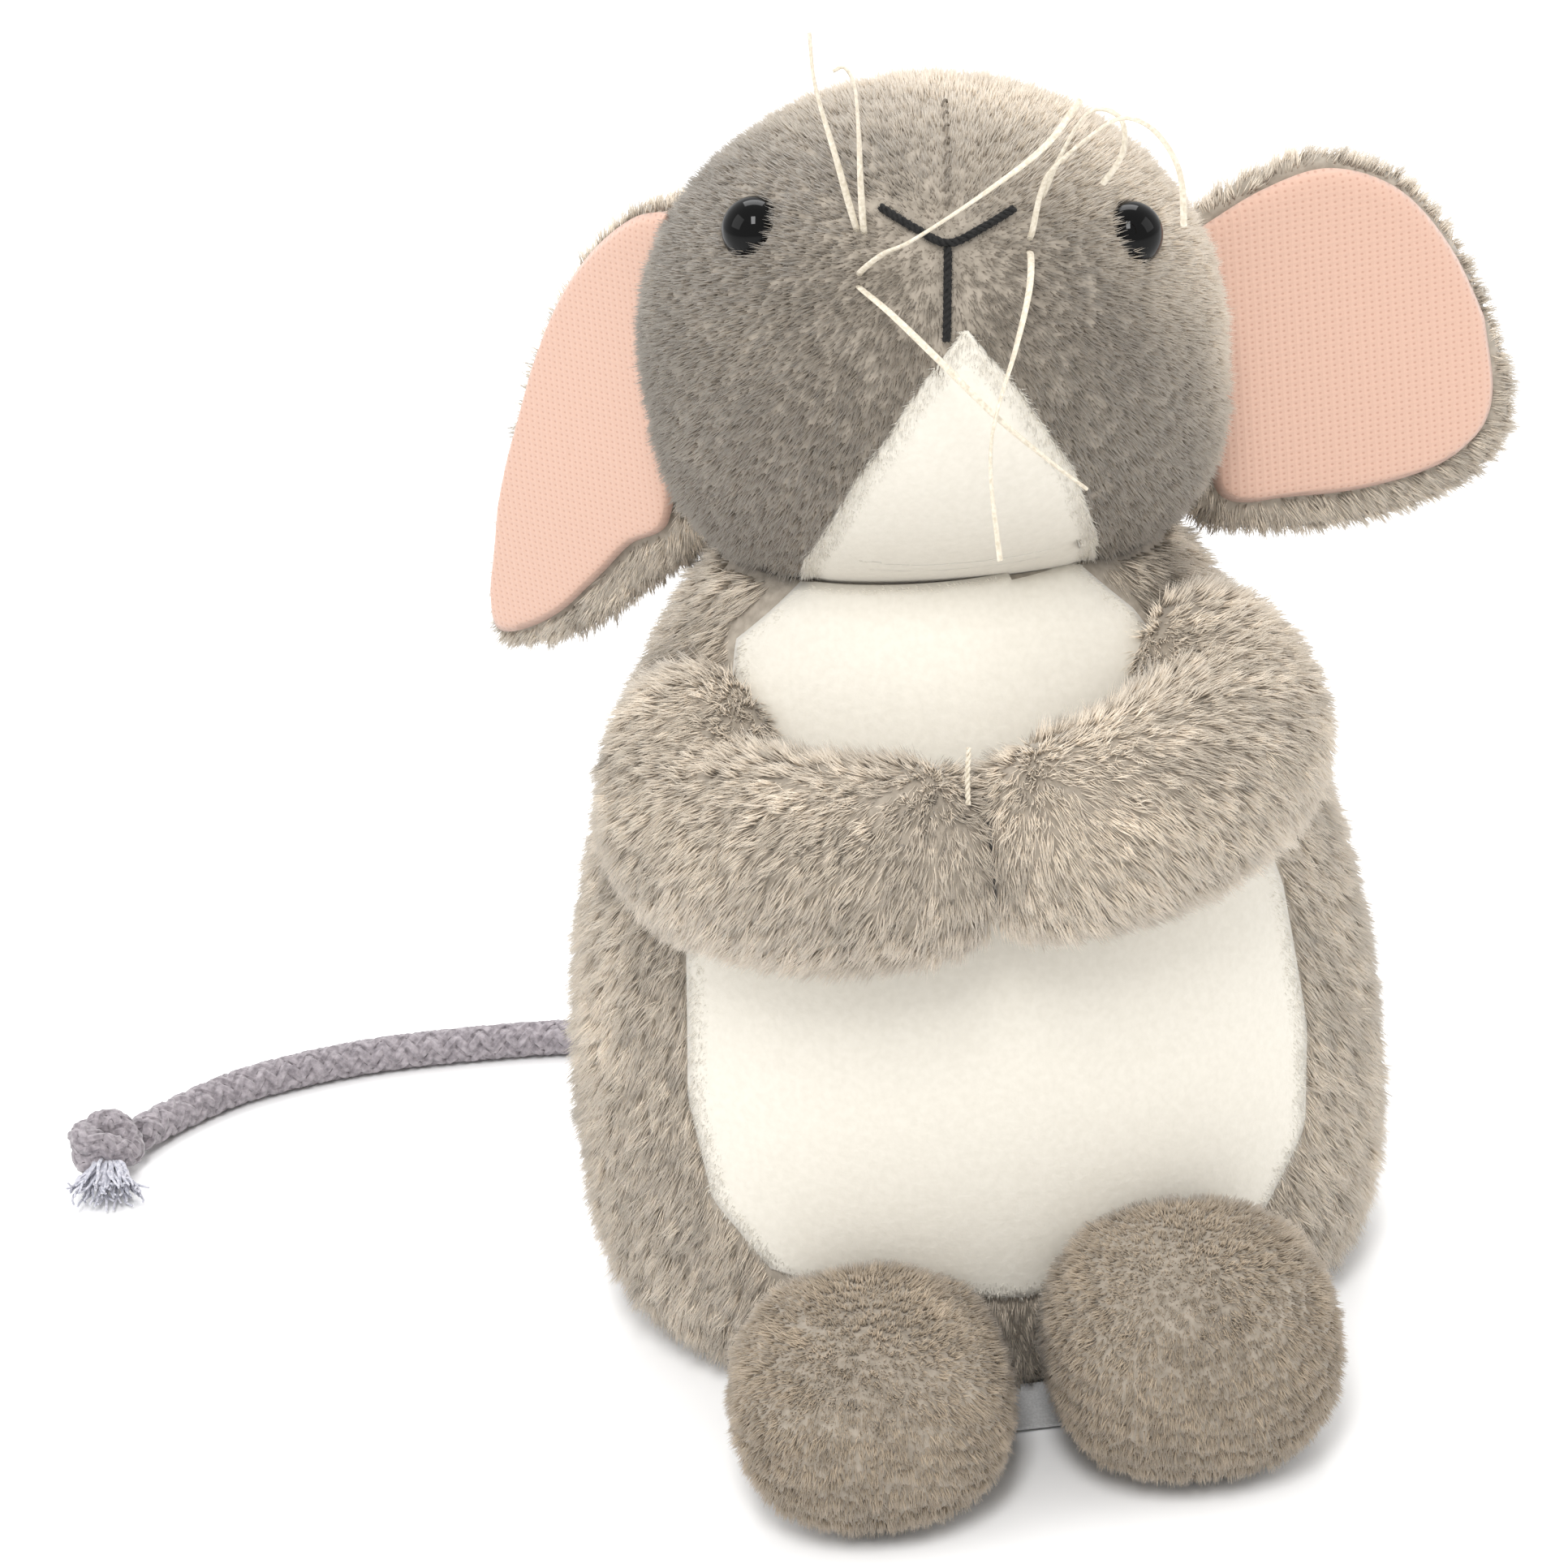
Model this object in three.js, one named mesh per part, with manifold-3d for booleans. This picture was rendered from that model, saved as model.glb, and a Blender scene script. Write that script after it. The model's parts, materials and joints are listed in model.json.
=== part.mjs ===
// A seated plush mouse, in millimetres. +Z is up, the mouse faces -Y, and the origin is the middle
// of its base.
import * as THREE from "three";
import { mergeVertices } from "three/addons/utils/BufferGeometryUtils.js";
import Module from "manifold-3d";

const wasm = await Module();
wasm.setup();

// ---- Driving dimensions --------------------------------------------------------------------
const GAP = 0.35; // between two pieces that touch
const PILE_CLOTH = 2.4; // backing cloth and pile, as one wall
const BODY_DEPTH_RATIO = 0.82; // front to back, against the width
const BODY_OUTLINE = [
  [46, 0], [54.5, 3.5], [59, 12], [60.5, 27], [60, 46], [57, 66],
  [52, 84], [45.5, 100], [38, 113], [28, 123], [13, 129],
]; // half width at each height
const BASE_HEIGHT = 4; // the round panel under the seat
const HEAD_CENTRE = new THREE.Vector3(1.6, -4, 152.5);
const HEAD_HALF = { width: 41.5, nose: 46, nape: 38.5, height: 35.5 };
const HEAD_PITCH = THREE.MathUtils.degToRad(33.5); // the nose points up
const HEAD_TILT = THREE.MathUtils.degToRad(6); // the head leans to its left
const HEAD_TURN = THREE.MathUtils.degToRad(-3.5); // and looks a little to its right
const CHEEKS = { depth: 38.5, power: 3.5 };
const NECK_OPENING_RADIUS = 17;
const EYE_RADIUS = 4.9;
const EYE_DIRECTION = { side: 0.683, nose: 0.707, up: 0.165 };
const EYE_SHANK_RADIUS = 1.6;
const WASHER_RADIUS = 5;
const STITCH_DIAMETER = 1.5;
const WHISKER_DIAMETER = 1.1;
const ARM_RADII = [12.5, 14, 14.5, 14.5, 13.5, 12.5]; // from the shoulder to the hand
const FOOT_FULLNESS = 0.86; // under 1, a foot is squarer than an ellipsoid
// The right foot lies a little flatter and further out than the left one.
const FEET = {
  right: { half: [19.5, 22.5, 15], centre: [-23.8, -64, 14.4] },
  left: { half: [20.5, 21, 17.5], centre: [22.8, -62.5, 16.9] },
};
const EAR = { thickness: 3.4, lining: 1.6, border: 1.6 };
const TAIL_DIAMETER = 5.6;

// ---- Helpers -------------------------------------------------------------------------------
const solidFrom = (geometry) => {
  const bare = geometry.clone();
  bare.deleteAttribute("normal");
  bare.deleteAttribute("uv");
  const merged = mergeVertices(bare, 1e-3);
  return new wasm.Manifold(
    new wasm.Mesh({
      numProp: 3,
      vertProperties: new Float32Array(merged.attributes.position.array),
      triVerts: new Uint32Array(merged.index.array),
    }),
  );
};

const geometryFrom = (solid) => {
  const mesh = solid.getMesh();
  const geometry = new THREE.BufferGeometry();
  geometry.setAttribute("position", new THREE.BufferAttribute(mesh.vertProperties, 3));
  geometry.setIndex(new THREE.BufferAttribute(mesh.triVerts, 1));
  geometry.computeVertexNormals();
  return geometry;
};

const biggestBody = (solid) =>
  solid.decompose().sort((a, b) => b.volume() - a.volume())[0];

const eachVertex = (geometry, move) => {
  const position = geometry.attributes.position;
  const point = new THREE.Vector3();
  for (let i = 0; i < position.count; i++) {
    point.fromBufferAttribute(position, i);
    move(point);
    position.setXYZ(i, point.x, point.y, point.z);
  }
  return geometry;
};

// A tube along points, with the same section all the way.
const tubeAlong = (points, diameter, steps, sides = 8) => {
  const ring = new THREE.Shape();
  for (let i = 0; i < sides; i++) {
    const angle = (2 * Math.PI * i) / sides;
    const x = (diameter / 2) * Math.cos(angle);
    const y = (diameter / 2) * Math.sin(angle);
    if (i === 0) ring.moveTo(x, y);
    else ring.lineTo(x, y);
  }
  ring.closePath();
  return new THREE.ExtrudeGeometry(ring, {
    steps,
    bevelEnabled: false,
    extrudePath: new THREE.CatmullRomCurve3(points),
  });
};

const ellipsoid = (halfX, halfY, halfZ, columns = 18, rows = 12) =>
  new THREE.SphereGeometry(1, columns, rows).scale(halfX, halfY, halfZ);

// A prism through the front of the toy, from an outline in X and Z.
const frontPrism = (outline, nearY, farY) => {
  const shape = new THREE.Shape(outline.map(([x, z]) => new THREE.Vector2(x, z)));
  const prism = new THREE.ExtrudeGeometry(shape, { depth: farY - nearY, bevelEnabled: false });
  return prism.rotateX(Math.PI / 2).translate(0, farY, 0);
};

const grown = (outline, by) => {
  const middleX = outline.reduce((sum, [x]) => sum + x, 0) / outline.length;
  const middleZ = outline.reduce((sum, [, z]) => sum + z, 0) / outline.length;
  return outline.map(([x, z]) => {
    const reach = Math.hypot(x - middleX, z - middleZ);
    const k = 1 + by / reach;
    return [middleX + (x - middleX) * k, middleZ + (z - middleZ) * k];
  });
};

const mouse = new THREE.Group();
const cloth = {
  greyPlush: new THREE.MeshStandardMaterial({ color: 0x9a9186, roughness: 0.95 }),
  whitePlush: new THREE.MeshStandardMaterial({ color: 0xf1ece3, roughness: 0.95 }),
  peachTricot: new THREE.MeshStandardMaterial({ color: 0xf2cdb8, roughness: 0.9 }),
  filling: new THREE.MeshStandardMaterial({ color: 0xf7f7f4, roughness: 1 }),
  braid: new THREE.MeshStandardMaterial({ color: 0xa59ea3, roughness: 0.85 }),
  thread: new THREE.MeshStandardMaterial({ color: 0xe9dfc8, roughness: 0.6 }),
  darkThread: new THREE.MeshStandardMaterial({ color: 0x262321, roughness: 0.8 }),
  satin: new THREE.MeshStandardMaterial({ color: 0xdedede, roughness: 0.45 }),
  blackPlastic: new THREE.MeshStandardMaterial({ color: 0x050505, roughness: 0.06 }),
  clearPlastic: new THREE.MeshStandardMaterial({ color: 0xe6e6e0, roughness: 0.4 }),
  pellets: new THREE.MeshStandardMaterial({ color: 0xd8d4c8, roughness: 0.7 }),
};

const add = (name, solid, material) => {
  const geometry = solid.isBufferGeometry ? solid : geometryFrom(solid);
  const mesh = new THREE.Mesh(geometry, material);
  mesh.name = name;
  mouse.add(mesh);
};

// ---- The head's form, which the body and the arms are cut to --------------------------------
// Head axes: side is +X, nose and up lie in the YZ plane, and the whole head leans by HEAD_TILT.
const headTurn = new THREE.Matrix4()
  .makeTranslation(HEAD_CENTRE)
  .multiply(new THREE.Matrix4().makeRotationZ(HEAD_TURN))
  .multiply(new THREE.Matrix4().makeRotationY(HEAD_TILT))
  .multiply(new THREE.Matrix4().makeRotationX(-HEAD_PITCH));

// The head's surface in its own axes (x side, -y nose, z up), from a direction of unit length.
const headPoint = (direction, offset = 0) => {
  const forward = -direction.y;
  const taper = forward > 0 ? 1 - 0.13 * forward * forward : 1;
  return new THREE.Vector3(
    direction.x * (HEAD_HALF.width + offset) * taper,
    direction.y * ((forward > 0 ? HEAD_HALF.nose : HEAD_HALF.nape) + offset),
    direction.z * (HEAD_HALF.height + offset),
  );
};

// Below its middle the head is fuller than an ellipsoid, and sits on the shoulders like a bag.
const withCheeks = (point) => {
  const down = THREE.MathUtils.clamp((HEAD_CENTRE.z - point.z) / CHEEKS.depth, 0, 0.97);
  const roundWidth = Math.sqrt(1 - down ** 2);
  const fullWidth = (1 - down ** CHEEKS.power) ** (1 / CHEEKS.power);
  point.x = HEAD_CENTRE.x + (point.x - HEAD_CENTRE.x) * (fullWidth / roundWidth);
  return point;
};

const headForm = (inset) =>
  solidFrom(
    eachVertex(new THREE.SphereGeometry(1, 26, 18), (point) => {
      point.copy(withCheeks(headPoint(point.clone().normalize(), -inset).applyMatrix4(headTurn)));
    }),
  );

// ---- Body: a bag of grey plush, open at the neck, on a round base panel ---------------------
// The body's outer form, moved inwards by inset.
const bodyForm = (inset) => {
  const outline = BODY_OUTLINE.map(([x, z], i) => {
    const lowest = i === 0 ? inset : 0;
    return new THREE.Vector2(Math.max(x - inset, 1), Math.min(z + lowest, 129 - inset * 1.4));
  });
  const top = 130 - inset * 1.4;
  outline[0].y = inset;
  const curve = new THREE.SplineCurve(outline.slice(1)).getPoints(12);
  const profile = [new THREE.Vector2(0, inset), outline[0], ...curve, new THREE.Vector2(0, top)];
  return solidFrom(
    new THREE.LatheGeometry(profile, 26).rotateX(Math.PI / 2).scale(1, BODY_DEPTH_RATIO, 1),
  );
};

const slab = (size, lowest, highest) =>
  solidFrom(
    new THREE.BoxGeometry(size, size, highest - lowest).translate(0, 0, (lowest + highest) / 2),
  );

const BELLY_OUTLINE = [
  [-21, 124], [18, 124], [26, 116], [31, 108], [39, 92], [44.5, 72], [46.5, 50],
  [45, 34], [37, 23], [0, 20], [-35, 23], [-43, 34], [-45, 50], [-43, 72],
  [-38, 92], [-33, 108], [-31, 116],
];

const NECK_CLEARANCE = 1.5; // between the head and the hollow that it turns in
const neckDish = headForm(-NECK_CLEARANCE);
const bodyOuter = bodyForm(0);
const bodyHollow = bodyForm(PILE_CLOTH);
const bodyWall = bodyOuter.subtract(bodyHollow).subtract(neckDish);
const bellyCut = (by) => solidFrom(frontPrism(grown(BELLY_OUTLINE, by), -90, -12));
add("body_shell",
  biggestBody(bodyWall.subtract(slab(200, -5, BASE_HEIGHT + GAP)).subtract(bellyCut(GAP))),
  cloth.greyPlush);
add("belly_panel", biggestBody(bodyWall.intersect(bellyCut(0))), cloth.whitePlush);
add("base_panel", bodyOuter.intersect(slab(200, -1, BASE_HEIGHT)).subtract(bellyCut(GAP)), cloth.greyPlush);

const PELLET_BAG_TOP = 16;
const insideBody = bodyForm(PILE_CLOTH + 0.8);
add("pellet_bag",
  insideBody.intersect(slab(84, BASE_HEIGHT + GAP, PELLET_BAG_TOP)),
  cloth.pellets);
add("body_stuffing",
  insideBody.intersect(slab(200, PELLET_BAG_TOP + GAP, 140)).subtract(headForm(-NECK_CLEARANCE - GAP)),
  cloth.filling);

// ---- Head: looks up, and turns on the neck --------------------------------------------------
const onHead = (side, nose, up, offset = 0) =>
  withCheeks(headPoint(new THREE.Vector3(side, -nose, up).normalize(), offset).applyMatrix4(headTurn));

// A rod along a line from one point to another.
const rod = (from, to, radius, sides = 10) => {
  const line = to.clone().sub(from);
  const turn = new THREE.Quaternion().setFromUnitVectors(
    new THREE.Vector3(0, 1, 0), line.clone().normalize());
  const middle = from.clone().add(to).multiplyScalar(0.5);
  return new THREE.CylinderGeometry(radius, radius, line.length(), sides)
    .applyQuaternion(turn)
    .translate(...middle);
};

const eyeSeat = (side) => {
  const { nose, up } = EYE_DIRECTION;
  const surface = onHead(side * EYE_DIRECTION.side, nose, up);
  const outward = surface.clone().sub(HEAD_CENTRE).normalize();
  return { surface, outward };
};
const along = ({ surface, outward }, distance) =>
  surface.clone().add(outward.clone().multiplyScalar(distance));

const CHIN_OUTLINE = [
  [3, 166.5], [10, 157], [17, 143], [21, 128], [21.5, 114], [17, 106],
  [-17, 106], [-21.5, 114], [-20.5, 128], [-13, 145], [-4, 159],
];
const neckOpening = solidFrom(
  new THREE.CylinderGeometry(NECK_OPENING_RADIUS, NECK_OPENING_RADIUS, 60, 16)
    .rotateX(Math.PI / 2)
    .translate(HEAD_CENTRE.x, HEAD_CENTRE.y, HEAD_CENTRE.z - 45),
);
const chinCut = (by) => solidFrom(frontPrism(grown(CHIN_OUTLINE, by), -90, -14));
const headWall = headForm(0).subtract(headForm(PILE_CLOTH)).subtract(neckOpening);
let headShell = headWall.subtract(chinCut(GAP));
let headStuffing = headForm(PILE_CLOTH + GAP);

for (const [name, side] of [["right", -1], ["left", 1]]) {
  const seat = eyeSeat(side);
  const dome = solidFrom(
    ellipsoid(EYE_RADIUS, EYE_RADIUS, EYE_RADIUS, 14, 10).translate(...along(seat, -0.6)));
  const shank = solidFrom(rod(along(seat, -9), along(seat, 0), EYE_SHANK_RADIUS));
  const washer = solidFrom(rod(along(seat, -5.2), along(seat, -4), WASHER_RADIUS, 14));
  const shankHole = solidFrom(rod(along(seat, -11), along(seat, 3), EYE_SHANK_RADIUS + GAP));
  const domeSeat = solidFrom(
    ellipsoid(EYE_RADIUS + GAP, EYE_RADIUS + GAP, EYE_RADIUS + GAP, 14, 10)
      .translate(...along(seat, -0.6)));
  const washerPocket = solidFrom(rod(along(seat, -11), along(seat, -3.2), WASHER_RADIUS + GAP, 14));
  const backOfDome = solidFrom(rod(along(seat, -8), along(seat, -1.6), 12));
  add(`${name}_eye`, dome.subtract(backOfDome).add(shank), cloth.blackPlastic);
  add(`${name}_eye_washer`, washer.subtract(shankHole), cloth.clearPlastic);
  headShell = headShell
    .subtract(domeSeat.subtract(solidFrom(rod(along(seat, -8), along(seat, -1.95), 12))))
    .subtract(shankHole)
    .subtract(solidFrom(rod(along(seat, -5.6), along(seat, -2.6), WASHER_RADIUS + GAP, 14)));
  headStuffing = headStuffing.subtract(washerPocket).subtract(shankHole);
}
add("head_shell", biggestBody(headShell), cloth.greyPlush);
add("chin_panel", biggestBody(headWall.intersect(chinCut(0))), cloth.whitePlush);
add("head_stuffing", headStuffing.subtract(neckOpening), cloth.filling);

// Embroidery: a nose in a V and the mouth line under it, lying on the pile.
const stitchAlong = (directions) =>
  tubeAlong(
    directions.map(([side, nose, up]) => onHead(side, nose, up, STITCH_DIAMETER / 2 + GAP)),
    STITCH_DIAMETER, 10);
add("nose_stitch",
  stitchAlong([
    [-0.24, 0.95, 0.14], [-0.12, 0.98, 0.05], [0, 1, -0.01], [0.12, 0.98, 0.05], [0.24, 0.95, 0.14],
  ]),
  cloth.darkThread);
add("mouth_stitch",
  stitchAlong([[0, 0.998, -0.075], [0, 0.985, -0.17], [0, 0.96, -0.28], [0, 0.93, -0.36]]),
  cloth.darkThread);

// ---- Whiskers: waxed threads drawn through the muzzle ---------------------------------------
// Each starts on the muzzle; its further points are offsets from there, in millimetres.
const WHISKERS = {
  whisker_a: { root: [-0.33, 0.941, 0.076], reach: [[-2, -2.8, 10.5], [-3.9, -2.6, 20.6], [-4, -1.1, 27.5]] },
  whisker_b: {
    root: [-0.3, 0.946, 0.06],
    reach: [[0, -2.1, 7.5], [0.3, -2.3, 14.3], [0.3, -1.8, 20.2], [-0.8, -1.6, 22.9], [-2.4, -1.7, 22.6]],
  },
  whisker_c: {
    root: [-0.312, 0.943, -0.105],
    reach: [[3.1, -3.4, 3.3], [7, -5.9, 5.5], [16.6, -6, 10.7], [25.6, -4, 15.8], [31.3, -0.8, 20.9]],
  },
  whisker_d: {
    root: [-0.311, 0.94, -0.165],
    reach: [
      [3.5, -5.6, -2.3], [8.8, -12.4, -7.1], [15.2, -16.8, -14.1], [21.9, -19, -20.6],
      [26.8, -18.1, -25.5],
    ],
  },
  whisker_e: {
    root: [0.302, 0.953, -0.03],
    reach: [
      [-1.3, -7.6, -2.8], [-4.3, -14.8, -8.2], [-7.4, -19.2, -14],
      [-9.1, -21.8, -18.6], [-9.7, -24, -24], [-9.5, -26, -33.7],
    ],
  },
  whisker_f: {
    root: [0.305, 0.952, 0.045],
    reach: [
      [1.5, -2.2, 6.5], [3.4, -3.2, 10], [9.9, -3.4, 14.7], [13.3, -3.8, 15.9],
      [16.5, -4.3, 14.4], [18.9, -5.5, 11.1], [20, -6.3, 7.1], [19.9, -6.8, 1],
    ],
  },
  whisker_g: {
    root: [0.345, 0.905, 0.215],
    reach: [
      [2.6, -1.6, 5.7], [6, -1.6, 10.6], [8.6, -2, 11.6], [11, -2.6, 10],
      [11.2, -2.6, 6.6], [10.1, -2.4, 3.9], [8, -1.4, 1],
    ],
  },
};
for (const [name, { root, reach }] of Object.entries(WHISKERS)) {
  const start = onHead(...root, WHISKER_DIAMETER / 2 + GAP);
  const points = [start, ...reach.map(([x, y, z]) => start.clone().add(new THREE.Vector3(x, y, z)))];
  add(name, tubeAlong(points, WHISKER_DIAMETER, 12, 6), cloth.thread);
}

// ---- Ears: grey plush behind, brushed peach tricot in front ---------------------------------
// Outlines in each ear's plane, outwards from its root and up from the root's middle.
const EARS = {
  right: {
    side: -1, root: [-36.5, 8, 143], sweep: 50, fold: [0, 20], middle: [21, -12],
    outline: [
      [-6, 31], [2, 28.8], [12, 22.4], [21.3, 13.5], [29.6, 2], [36, -10.8], [40.6, -22],
      [45.2, -34.9], [48, -43.3], [47.5, -48.6], [41.6, -48.4], [29.4, -43.8], [17, -36.5],
      [6.8, -29], [-4, -21], [-5.5, -6],
      [-6.5, 12],
    ],
  },
  left: {
    side: 1, root: [42, 2, 141], sweep: 13, fold: [-20, 0, 20], middle: [22, -2],
    outline: [
      [-3, 22], [9, 27], [20, 28.5], [31, 23.5], [39.5, 13], [45, 0], [48, -12], [46, -20.5],
      [38.5, -26], [25, -28.5], [11, -27.5], [-3, -23], [-4, -8], [-4, 8],
    ],
  },
};
const earSlice = (ear, inset, thickness, front) => {
  const { middle } = ear;
  const outline = ear.outline.map(([x, z]) => {
    const reach = Math.hypot(x - middle[0], z - middle[1]);
    const k = 1 - inset / reach;
    return new THREE.Vector2(middle[0] + (x - middle[0]) * k, middle[1] + (z - middle[1]) * k);
  });
  const smooth = new THREE.SplineCurve([...outline, outline[0]]).getPoints(36).slice(0, 36);
  return new THREE.ExtrudeGeometry(new THREE.Shape(smooth), { depth: thickness, bevelEnabled: false })
    .rotateX(Math.PI / 2)
    .translate(0, front + thickness, 0);
};

// An ear trimmed to the head, at each angle of its fold.
const clearOfHead = (solid, { root: [x, y], fold }) =>
  fold.reduce((kept, angle) => {
    const head = headForm(-GAP).translate(-x, -y, 0).rotate(0, 0, -angle).translate(x, y, 0);
    return kept.subtract(head);
  }, solid);

for (const [name, ear] of Object.entries(EARS)) {
  const sweep = THREE.MathUtils.degToRad(ear.side > 0 ? ear.sweep : 180 - ear.sweep);
  const place = (geometry) =>
    biggestBody(clearOfHead(solidFrom(geometry.rotateZ(sweep).translate(...ear.root)), ear));
  const back = ear.side > 0 ? 0 : -EAR.thickness;
  const front = ear.side > 0 ? -EAR.lining - GAP : GAP;
  add(`${name}_ear_back`, place(earSlice(ear, 0, EAR.thickness, back)), cloth.greyPlush);
  add(`${name}_ear_lining`, place(earSlice(ear, EAR.border, EAR.lining, front)), cloth.peachTricot);
}

// ---- Arms: stuffed sleeves sewn on at the shoulders, tacked together at the hands -----------
// A stuffed sleeve: a capsule bent along a path, whose radius changes from its start to its end.
const sleeve = (points, inset) => {
  const curve = new THREE.CatmullRomCurve3(points);
  const length = curve.getLength();
  const capsule = new THREE.CapsuleGeometry(1, 4, 4, 14, 9).rotateX(Math.PI / 2);
  return solidFrom(
    eachVertex(capsule, (point) => {
      const along = THREE.MathUtils.clamp(point.z / 6 + 0.5, 0, 1);
      const at = along * (ARM_RADII.length - 1);
      const before = Math.min(Math.floor(at), ARM_RADII.length - 2);
      const radius = THREE.MathUtils.lerp(ARM_RADII[before], ARM_RADII[before + 1], at - before) - inset;
      const cap = radius / length;
      const t = point.z < -2 ? (point.z + 3) * cap
        : point.z > 2 ? 1 + (point.z - 3) * cap
        : cap + ((point.z + 2) / 4) * (1 - 2 * cap);
      const middle = curve.getPointAt(THREE.MathUtils.clamp(t, 0, 1));
      const tangent = curve.getTangentAt(THREE.MathUtils.clamp(t, 0, 1));
      const sideways = new THREE.Vector3(0, 0, 1).cross(tangent).normalize();
      const upwards = tangent.clone().cross(sideways);
      const { x, y } = point;
      point.copy(middle).addScaledVector(sideways, x * radius).addScaledVector(upwards, y * radius);
    }),
  );
};
const bodyClearance = bodyForm(-GAP);
const ARM_PATHS = {
  right: [
    [-31, -11, 105], [-37, -21, 97.5], [-37.5, -33, 91.5], [-27, -44, 90.5], [-13, -49.5, 91],
    [10, -50.5, 91.5],
  ],
  left: [
    [29, -11, 105], [35, -21, 101.5], [36.5, -33, 97], [28, -44, 95], [13, -49.5, 92.5],
    [-10, -50.5, 91.5],
  ],
};
for (const [name, side] of [["right", -1], ["left", 1]]) {
  const points = ARM_PATHS[name].map((p) => new THREE.Vector3(...p));
  const half = solidFrom(
    new THREE.BoxGeometry(120, 120, 120).translate(side * (60 + GAP / 2), -40, 80));
  const trim = (solid) => biggestBody(
    solid.intersect(half).subtract(bodyClearance).subtract(neckDish));
  const outer = trim(sleeve(points, 0));
  const hollow = sleeve(points, PILE_CLOTH);
  add(`${name}_arm_sleeve`, biggestBody(outer.subtract(hollow)), cloth.greyPlush);
  add(`${name}_arm_stuffing`, trim(sleeve(points, PILE_CLOTH + GAP)), cloth.filling);
}
const TACK_ROUTE = [[-2.5, -58, 104.4], [-2.3, -57.8, 107], [-1.8, -57, 110]];
const TACK_DIAMETER = 0.9;
add("hand_tack_thread",
  tubeAlong(TACK_ROUTE.map((p) => new THREE.Vector3(...p)), TACK_DIAMETER, 3, 6),
  cloth.thread);

// ---- Feet: stuffed pads sewn to the front of the body, with a separate sole -----------------
const SOLE_TOP = 3.4;
const FOOT_HINGE = { y: -50, z: 27 };
const FOOT_LIFTS = [0, 4, 8, 12];

// A piece of a foot, trimmed to the body at each angle of its lift.
const clearOfBody = (solid) =>
  biggestBody(FOOT_LIFTS.reduce((kept, angle) => {
    const body = bodyClearance
      .translate(0, -FOOT_HINGE.y, -FOOT_HINGE.z)
      .rotate(angle, 0, 0)
      .translate(0, FOOT_HINGE.y, FOOT_HINGE.z);
    return kept.subtract(body);
  }, solid));

for (const [name, { half, centre }] of Object.entries(FEET)) {
  const form = (inset) =>
    solidFrom(
      eachVertex(ellipsoid(1, 1, 1, 20, 14), (point) => {
        const fuller = (v, i) => Math.sign(v) * Math.abs(v) ** FOOT_FULLNESS * (half[i] - inset);
        point.set(...point.toArray().map(fuller));
      }).translate(...centre),
    );
  const wall = form(0).subtract(form(PILE_CLOTH)).subtract(slab(300, -10, SOLE_TOP + GAP));
  const sole = form(0).intersect(slab(300, 0, SOLE_TOP));
  const stuffing = form(PILE_CLOTH + 2 * GAP).subtract(slab(300, -10, SOLE_TOP + 2 * GAP));
  add(`${name}_foot_upper`, clearOfBody(wall), cloth.greyPlush);
  add(`${name}_foot_sole`, clearOfBody(sole), cloth.greyPlush);
  add(`${name}_foot_stuffing`, clearOfBody(stuffing), cloth.filling);
}

// ---- Care label: a folded satin ribbon caught in the base seam ------------------------------
add("care_label",
  new THREE.BoxGeometry(12, 9, 0.5).rotateX(0.25).translate(1, -50.4, 1.8), cloth.satin);

// ---- Tail: a braided cord from the back seam, knotted and frayed at its end -----------------
const TAIL_ROUTE = [
  [0, 48.6, 8.4], [-0.8, 52.5, 7.8], [-3.5, 57.5, 6.4], [-8, 64, 4.2], [-15, 71, 3.2], [-25, 77.5, 2.9],
  [-38, 83, 2.9], [-52, 87, 2.9], [-67, 90, 2.9], [-82, 91, 2.9], [-96, 90.8, 2.9],
  [-109, 88.4, 2.9], [-121, 83.8, 2.9], [-131, 76, 2.9], [-137, 68.5, 3.6],
].map((p) => new THREE.Vector3(...p));
add("tail_cord", tubeAlong(TAIL_ROUTE, TAIL_DIAMETER, 30, 8), cloth.braid);
add("tail_knot",
  ellipsoid(6.6, 5.6, 5.4, 16, 12).rotateZ(-0.7).translate(-141.4, 62.6, 5.5), cloth.braid);
add("tail_tuft",
  new THREE.CylinderGeometry(2.6, 6.2, 9, 12).scale(1, 1, 0.5).translate(0, -4.5, 0)
    .rotateZ(-0.1).translate(-141.6, 56.6, 3.3),
  cloth.braid);

export default mouse;
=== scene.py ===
import json
import math

import bpy
import numpy as np
from mathutils import Euler, Matrix, Vector, kdtree
from mathutils.bvhtree import BVHTree


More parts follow.
